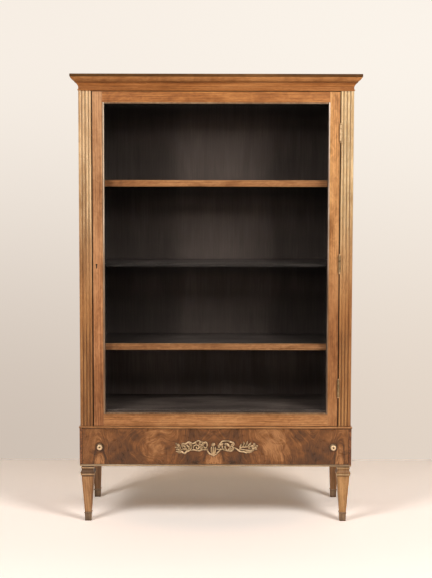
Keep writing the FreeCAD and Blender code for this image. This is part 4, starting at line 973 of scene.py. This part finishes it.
def sheet_along_x(name, profile, material):
    """A sheet swept along X from a profile of (y, z) points."""
    count = len(profile)
    points = [(x, y, z) for x in (-ROOM_HALF, ROOM_HALF) for y, z in profile]
    faces = [(i, count + i, count + i + 1, i + 1) for i in range(count - 1)]
    sheet = make_sheet(name, points, faces, material)
    for face in sheet.data.polygons:
        face.use_smooth = True


def make_stage():
    sheet_along_x("floor", [(ROOM_FRONT, 0.0), (FLOOR_BACK, 0.0)], floor_paper())
    cove = []
    for step in range(COVE_STEPS + 1):
        angle = math.pi / 2 * step / COVE_STEPS
        cove.append((WALL_Y - COVE_RADIUS * (1 - math.sin(angle)), COVE_RADIUS * (1 - math.cos(angle))))
    sheet_along_x("wall", cove + [(WALL_Y, WALL_TOP)], wall_paper())


# Finishes of the CAD pieces. Each piece is cut elsewhere from the wood than the one before

CUT_START = (0.31, 0.23)
CUT_STEPS = (0.17, 0.11, 1.7)


def paint(node, material):
    NODES[node].material_slots[0].material = material


def plain(names):
    return dict.fromkeys(names.split())


def finish(kind, grain, pieces, inside=None):
    """Give each named piece its own cut of one wood, with its tint or cast."""
    for index, (name, shade) in enumerate(pieces.items()):
        offset = (CUT_START[0] + CUT_STEPS[0] * index, CUT_START[1] + CUT_STEPS[1] * (index % 3),
                  CUT_STEPS[2] * index)
        tint = shade if isinstance(shade, tuple) else NO_TINT
        cast = shade if callable(shade) else None
        paint(name, wood_material(name, kind, grain, offset, tint, inside, cast))


def finish_case():
    # Painted light: the stiles grow paler up the case, the hinge stile on the right more
    finish(STILE, "Z", {"door_lock_stile": painted_rising_light((0.98, 0.88, 0.83), (0.98, 1.0, 1.04)),
                        "door_hinge_stile": painted_rising_light((0.86, 0.76, 0.63), (1.4, 1.46, 1.28))})
    finish(WALNUT, "X", {"door_top_rail": (0.93, 0.77, 0.49), "lower_shelf_lipping": (0.97, 0.9, 0.9),
                         "upper_shelf_lipping": (0.88, 0.77, 0.69)})
    finish(SILL, "X", {"door_bottom_rail": (1.04, 0.98, 0.85)})
    # Painted light: the pilasters grow much paler up the case, the right one more
    finish(PILASTER, "Z", {"left_pilaster": painted_rising_light((0.88, 0.75, 0.58), (1.66, 2.08, 2.5)),
                           "right_pilaster": painted_rising_light((0.95, 0.81, 0.61), (1.78, 2.4, 2.9))})
    finish(WALNUT, "Z", plain("left_side_panel right_side_panel"), inside=inner_side)
    finish(RED_WALNUT, "X", {"cornice_front": cornice_light_cast})
    finish(WAIST_WALNUT, "X", plain("waist_board"))
    finish(RED_WALNUT, "Y", {"cornice_left": cornice_light_cast, "cornice_right": cornice_light_cast})
    finish(PALE_EDGE, "X", {"base_floor": (1.46, 1.64, 1.74)})
    finish(DARK_TOP, "X", plain("top_board"))
    finish(PALE_BEAD, "Z", {"sight_beads": bead_light_cast})
    finish(BASE_VENEER, "Y", plain("base_left_side base_right_side"))
    # Painted light: the right-hand legs are tinted paler, as if lit more from the right
    finish(LEFT_LEG, "Z", {"front_left_leg": (1.12, 1.12, 1.09)})
    finish(RIGHT_LEG, "Z", {"front_right_leg": (1.31, 1.37, 1.25)})
    finish(REAR_LEG, "Z", {"rear_left_leg": (0.64, 0.66, 0.7), "rear_right_leg": (0.78, 0.77, 0.7)})
    finish(DARK_SHOE, "Z", {"leg_shoes": shoe_cast})
    finish(PLAIN_TIMBER, "Z", plain("back_board_left back_board_centre back_board_right"), inside=inner_face)
    finish(STAINED, "X", {"case_floor": (0.6, 0.61, 0.61),
                          **plain("floor_front_rail case_ceiling top_door_stop"),
                          "lower_shelf": (0.66, 0.685, 0.71), "middle_shelf": (0.58, 0.605, 0.64),
                          **plain("upper_shelf")})
    finish(STAINED, "Y", plain("shelf_cleats"))
    finish(STAINED, "Z", plain("glass_stops"))
    finish(PLAIN_TIMBER, "Y", plain("drawer_left_side drawer_right_side drawer_bottom"))
    finish(PLAIN_TIMBER, "X", plain("drawer_back base_back_rail cornice_back_rail"))
    paint("drawer_front", figured_veneer())


def finish_metal_and_glass():
    """Finish the metal pieces and the pane, and give the brass for the scroll mount."""
    brass = metal("brass", (0.62, 0.45, 0.28), (0.22, 0.13, 0.054), 0.34, 0.5)
    aged = metal("aged_brass", (0.62, 0.45, 0.27), (0.17, 0.1, 0.04), 0.42, 0.7)
    dark = metal("dark_brass", (0.34, 0.235, 0.125), (0.11, 0.07, 0.032), 0.45, 0.8)
    mount = metal("mount_brass", (0.64, 0.465, 0.28), (0.11, 0.065, 0.025), 0.42, 0.7, depth=5 * MM)
    steel = metal("steel", (0.52, 0.5, 0.47), (0.2, 0.17, 0.14), 0.34, 0.5)
    iron = metal("iron", (0.13, 0.115, 0.1), (0.05, 0.04, 0.032), 0.5, 0.7)
    for row in frame["record"]["subparts"]:
        node, slot = row["node"], row["material_slot"]
        if slot == "brass":
            hinge = dark if node.startswith(("middle_hinge", "lower_hinge")) else aged
            paint(node, hinge if "hinge" in node else brass)
        elif slot == "steel":
            paint(node, iron if node == "lock_case" else steel)
    for node in ("left_knob", "right_knob"):
        paint(node, metal(f"{node}_brass", (0.78, 0.585, 0.375), (0.07, 0.04, 0.016), 0.48, 0.3,
                          sunk=knob_hollows(node)))
    paint("glass_pane", clear_glass())
    return mount


# Scroll mount of the drawer front. Places are in millimetres from its middle, across and up

MOUNT_MIDDLE = (-6.0, 251.5)
MOUNT_SINK = 0.1
MOUNT_FULLNESS = 1.18
CURVE_STEPS = 5
# Cross sections, as shares of the half width and of the relief
ROUND = [(math.cos(math.pi * step / 6), math.sin(math.pi * step / 6)) for step in range(7)]
RIBBED = [(1.0, 0.0), (0.74, 0.62), (0.3, 0.95), (0.0, 0.62), (-0.3, 0.95), (-0.74, 0.62), (-1.0, 0.0)]
# Stems: width, relief, and points across and up in turn. The last ones are the cup's flutes
STEMS = [
    (5.4, 3.4, -128, -8.9, -119.5, -9.6, -111.6, -8, -103.5, -13.4, -97.4, -15.8, -92.5, -10.5, -85, -7.1,
     -78.4, -2.6, -74.6, 6, -73.5, 13.5),
    (5.2, 3.6, -109.6, 13, -105.9, 18.2, -97.4, 16.8, -89.8, 20, -84.5, 22.8, -76.5, 20, -72.5, 17.4, -66,
     19.4, -60.4, 23, -54.5, 26.6, -49.5, 27.2, -44, 25),
    (5.8, 3.7, -82, -5, -72.5, -3.8, -64.5, -3.6, -53, -5.8, -44.3, -5.2, -38, -2, -30, -2.8, -22, -2.2),
    (4.6, 3.7, -64.5, -3.4, -68.4, 1.5, -68, 7, -64.6, 11.2, -58.5, 12.8, -52.2, 10.8, -49.6, 5.4, -52, 0.8,
     -57, 0.2, -59.6, 3.8, -57.4, 6.6),
    (4.6, 3.4, -51.5, 13.4, -45, 13.8, -39, 11.8, -33.5, 10.8),
    (4.8, 3.6, -45.5, 25.4, -40, 23.4, -34, 21.4, -27.5, 22.6, -23, 18.6, -22.2, 11.5, -24.6, 5, -29, 2.6,
     -33.2, 5.6, -33, 10.4),
    (5.2, 4, -22.5, -1.8, -21, -6.4, -18.8, -11, -15, -15.6, -8, -19.4, 0, -21.4, 7, -18.6, 11.8, -14.6, 18.7,
     -7.6, 25.4, -3),
    (5, 3.4, 8, -1.4, 16, -1.6, 25.2, -1.8, 33, -1.4),
    (5.2, 3.7, 13.5, 9, 16, 12.6, 22, 18.4, 28.4, 25.2, 36.5, 26.8, 48.4, 26.8, 56.6, 23.6, 65.2, 21.2, 68.6,
     16.4, 65.4, 11, 61.5, 7),
    (5.8, 3.7, 29, -1.6, 39, -4.2, 49, -6.2, 58.6, -7.2, 64.2, -3.4, 68.4, 0.6),
    (5, 3.9, 56, 9.4, 62, 6.6, 72.5, 2.2, 81, -3.2, 88.8, -8.2, 100.4, -9.6, 108.6, -13.4, 113, -13.8),
    (4.6, 3.2, 84, -3.6, 91, 2.4, 99, 6, 108, 6.4, 115, 8.4, 124, 8),
    (4.6, 3.2, 30.5, 10.6, 28.6, 5, 32, 0.2, 37.5, -2.6),
    (5, 3.4, 88, -1.6, 99, -2.6, 109, -4.4, 118, -5.4),
    (6.3, 5.2, -7.4, 7, -7.8, 0, -6.8, -8, -4.4, -16, -2.6, -22),
    (6.5, 5.8, -1.4, 7, -1.4, 0, -1, -8, -0.6, -16, -0.4, -23),
    (6.3, 5.2, 4.6, 7, 5, 0, 4.4, -8, 2.8, -16, 1.4, -22),
]
# Leaf lobes with a groove along the middle, given in the same way from the root to the tip
LEAVES = [
    (7.2, 3.5, -113.2, -5, -114.4, 3, -116.6, 10, -121, 18.4),
    (6.6, 3.2, -115, 6, -120, 11.4, -124.6, 14.8, -128.4, 20.2),
    (6, 3, -114, 0, -119, 3, -124, 4.4, -129, 4.6),
    (5.6, 3, -114, -5, -119, -3.6, -123, -2.4, -128, -3.4),
    (6.6, 3.4, -91, -3, -95, 3.4, -100, 9.8, -109, 16.4),
    (6.2, 3.2, -86, -6, -94, -2.4, -103, -1.4, -113, -5.6),
    (6.2, 3.2, -80, -3, -84, 4.4, -90, 10.6, -98.6, 16.4),
    (6.4, 3.4, -75, 5, -77, 11.6, -81, 17, -88.4, 23.4),
    (5.6, 2.9, -103, -12, -110, -11.8, -117, -12.8, -123.6, -12.6),
    (5.6, 3, -104, 4, -106.4, 8.4, -106.6, 13, -104.4, 19.6),
    (5.4, 3, -88, -2, -83.6, 2, -80, 7, -78.4, 13),
    (7, 3.5, -42, 12.4, -37, 16, -31, 20.2, -24.4, 23.6),
    (6.4, 3.4, -49.6, 15, -46.6, 19.4, -46, 23.6, -48.8, 29.4),
    (5.8, 3.2, -46.4, 0, -41, 1.8, -37, 5.6, -34.4, 11),
    (5.8, 3.2, -58, 13, -60, 16.6, -60.2, 20, -58, 24.4),
    (5.6, 3, -52, 4, -47.6, 6, -43.6, 7, -39, 6),
    (8.4, 4, 16.6, 3, 18.4, 8.8, 22, 15.4, 29.4, 27.4),
    (6, 3.3, 26, 8, 26.8, 12.4, 29.4, 16.6, 33.6, 19.4),
    (9, 4, 36, 18, 44, 15.6, 51, 11, 57.8, 2.4),
    (6.4, 3.4, 57.4, 9, 61.2, 13.4, 64, 18.2, 66.4, 24.2),
    (6.6, 3.5, 40, 11, 37.8, 5.4, 39.4, 0.4, 45, -5),
    (6, 3.2, 48, -4, 53, -1.4, 58.6, -0.6, 64.4, 1.4),
    (6.6, 3.6, 88.6, 0, 89.6, 6.4, 91.6, 11.6, 94, 18),
    (6.8, 3.7, 96, 4, 99.6, 10.6, 101.6, 17, 100, 25.2),
    (6.8, 3.7, 104, 5.4, 108.6, 11.6, 111.6, 17.6, 113.8, 27),
    (6.6, 3.5, 112, 6.6, 117, 10.4, 121.6, 15.2, 126.4, 22.6),
    (6, 3.3, 114.4, 8.6, 118.6, 5, 121.4, 1.4, 125.2, -1),
    (8, 3.7, 107, -5, 118, -6.2, 127, -6.8, 138, -4),
    (6, 3.3, 103, -9.8, 113, -10.8, 121, -11.4, 130.4, -9.6),
]
# Beads and buds: across, up, radius and relief
BEADS = [
    (-1.4, 14.2, 7.2, 5.6), (-0.2, -23.2, 3, 5.4), (-129.6, 4.8, 2.2, 2.6), (-85, -6.6, 4.2, 4),
    (-58.4, 4.6, 3.4, 3.6), (-27.6, 21.6, 4, 3.8), (-22.4, -2.4, 3.4, 3.8), (23, -2, 3.4, 3.8),
    (21.6, 14, 4.6, 4), (50, 12.4, 4.2, 4), (66, 1.6, 3.2, 3.8), (88, -7, 3.2, 3.6),
]
BEAD_SIDES = 14
BEAD_LEVELS = 5
# Rosette: its middle, its petals' count, reach, width, relief and points along them, and its bead
ROSETTE = (136.4, 6.6)
PETALS = 5
PETAL_REACH = 14.2
PETAL_SIZE = (8.4, 3.8)
PETAL_SHARES = (0.16, 0.45, 0.72, 1.0)
ROSETTE_BEAD = (2.4, 3.4)


def curve(points):
    """A smooth run of points through the given ones, each with its share of the way."""
    ends = [points[0]] + points + [points[-1]]
    run = []
    for index in range(len(points) - 1):
        before, first, second, after = (Vector(p) for p in ends[index:index + 4])
        for step in range(CURVE_STEPS):
            t = step / CURVE_STEPS
            run.append(0.5 * (2 * first + (second - before) * t
                              + (2 * before - 5 * first + 4 * second - after) * t * t
                              + (3 * first - before - 3 * second + after) * t ** 3))
    run.append(Vector(points[-1]))
    return [(point, index / (len(run) - 1)) for index, point in enumerate(run)]


def stem_width(along):
    return 0.35 + 0.65 * math.sin(math.pi * along) ** 0.5


def leaf_width(along):
    return 0.1 + 0.9 * math.sin(math.pi * min(1.0, 0.12 + 0.88 * along)) ** 0.75


def on_mount(across, up, out):
    x, z = MOUNT_MIDDLE
    return (x + across) * MM, DRAWER_LOW.y + (MOUNT_SINK - out) * MM, (z + up) * MM


def bridge(build, rings):
    """Faces from each ring of corners to the next."""
    for ring, following in zip(rings, rings[1:]):
        for corner in range(len(ring)):
            beside = (corner + 1) % len(ring)
            build.faces.new((ring[corner], ring[beside], following[beside], following[corner]))


def add_ribbon(build, section, width_at, width, relief, *numbers):
    """A closed strip along a curve, flat behind and shaped in front by the section."""
    run = curve(list(zip(numbers[::2], numbers[1::2])))
    rings = []
    for index, (point, along) in enumerate(run):
        ahead = run[min(index + 1, len(run) - 1)][0] - run[max(index - 1, 0)][0]
        side = Vector((-ahead.y, ahead.x)).normalized()
        half = width / 2 * MOUNT_FULLNESS * width_at(along)
        rise = relief * (0.55 + 0.45 * width_at(along))
        places = [(point + side * (half * across), rise * out) for across, out in section]
        rings.append([build.verts.new(on_mount(place.x, place.y, out)) for place, out in places])
    bridge(build, rings)
    build.faces.new(rings[0])
    build.faces.new(rings[-1])


def add_bead(build, across, up, radius, relief):
    """A closed dome, flat behind."""
    turns = [2 * math.pi * side / BEAD_SIDES for side in range(BEAD_SIDES)]
    rings = []
    for level in range(BEAD_LEVELS):
        angle = math.pi / 2 * level / BEAD_LEVELS
        reach = radius * math.cos(angle)
        rings.append([build.verts.new(on_mount(across + reach * math.cos(turn), up + reach * math.sin(turn),
                                               relief * math.sin(angle))) for turn in turns])
    top = build.verts.new(on_mount(across, up, relief))
    bridge(build, rings)
    for side in range(BEAD_SIDES):
        build.faces.new((rings[-1][side], rings[-1][(side + 1) % BEAD_SIDES], top))
    build.faces.new(rings[0])


def add_rosette(build):
    for petal in range(PETALS):
        angle = 2 * math.pi * (petal + 0.25) / PETALS
        way = Vector((math.cos(angle), math.sin(angle)))
        numbers = [n for share in PETAL_SHARES for n in Vector(ROSETTE) + way * (PETAL_REACH * share)]
        add_ribbon(build, RIBBED, leaf_width, *PETAL_SIZE, *numbers)
    add_bead(build, *ROSETTE, *ROSETTE_BEAD)


def make_scroll_mount(material):
    """Cast scrolls, acanthus lobes, a fluted cup and a rosette on the drawer front."""
    build = bmesh.new()
    for stem in STEMS:
        add_ribbon(build, ROUND, stem_width, *stem)
    for leaf in LEAVES:
        add_ribbon(build, RIBBED, leaf_width, *leaf)
    for bead in BEADS:
        add_bead(build, *bead)
    add_rosette(build)
    bmesh.ops.recalc_face_normals(build, faces=build.faces)
    mesh = bpy.data.meshes.new("scroll_mount_relief")
    build.to_mesh(mesh)
    build.free()
    mesh.materials.append(material)
    for face in mesh.polygons:
        face.use_smooth = len(face.vertices) <= 4
    mount = link(bpy.data.objects.new("scroll_mount_relief", mesh))
    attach(mount, "drawer")
    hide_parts("scroll_mount")


make_camera()
make_softbox("left", -1)
make_softbox("right", 1)
make_back_lamp()
make_world()
make_flag()
make_stage()
finish_case()
make_scroll_mount(finish_metal_and_glass())
bpy.context.scene.view_settings.view_transform = "Standard"
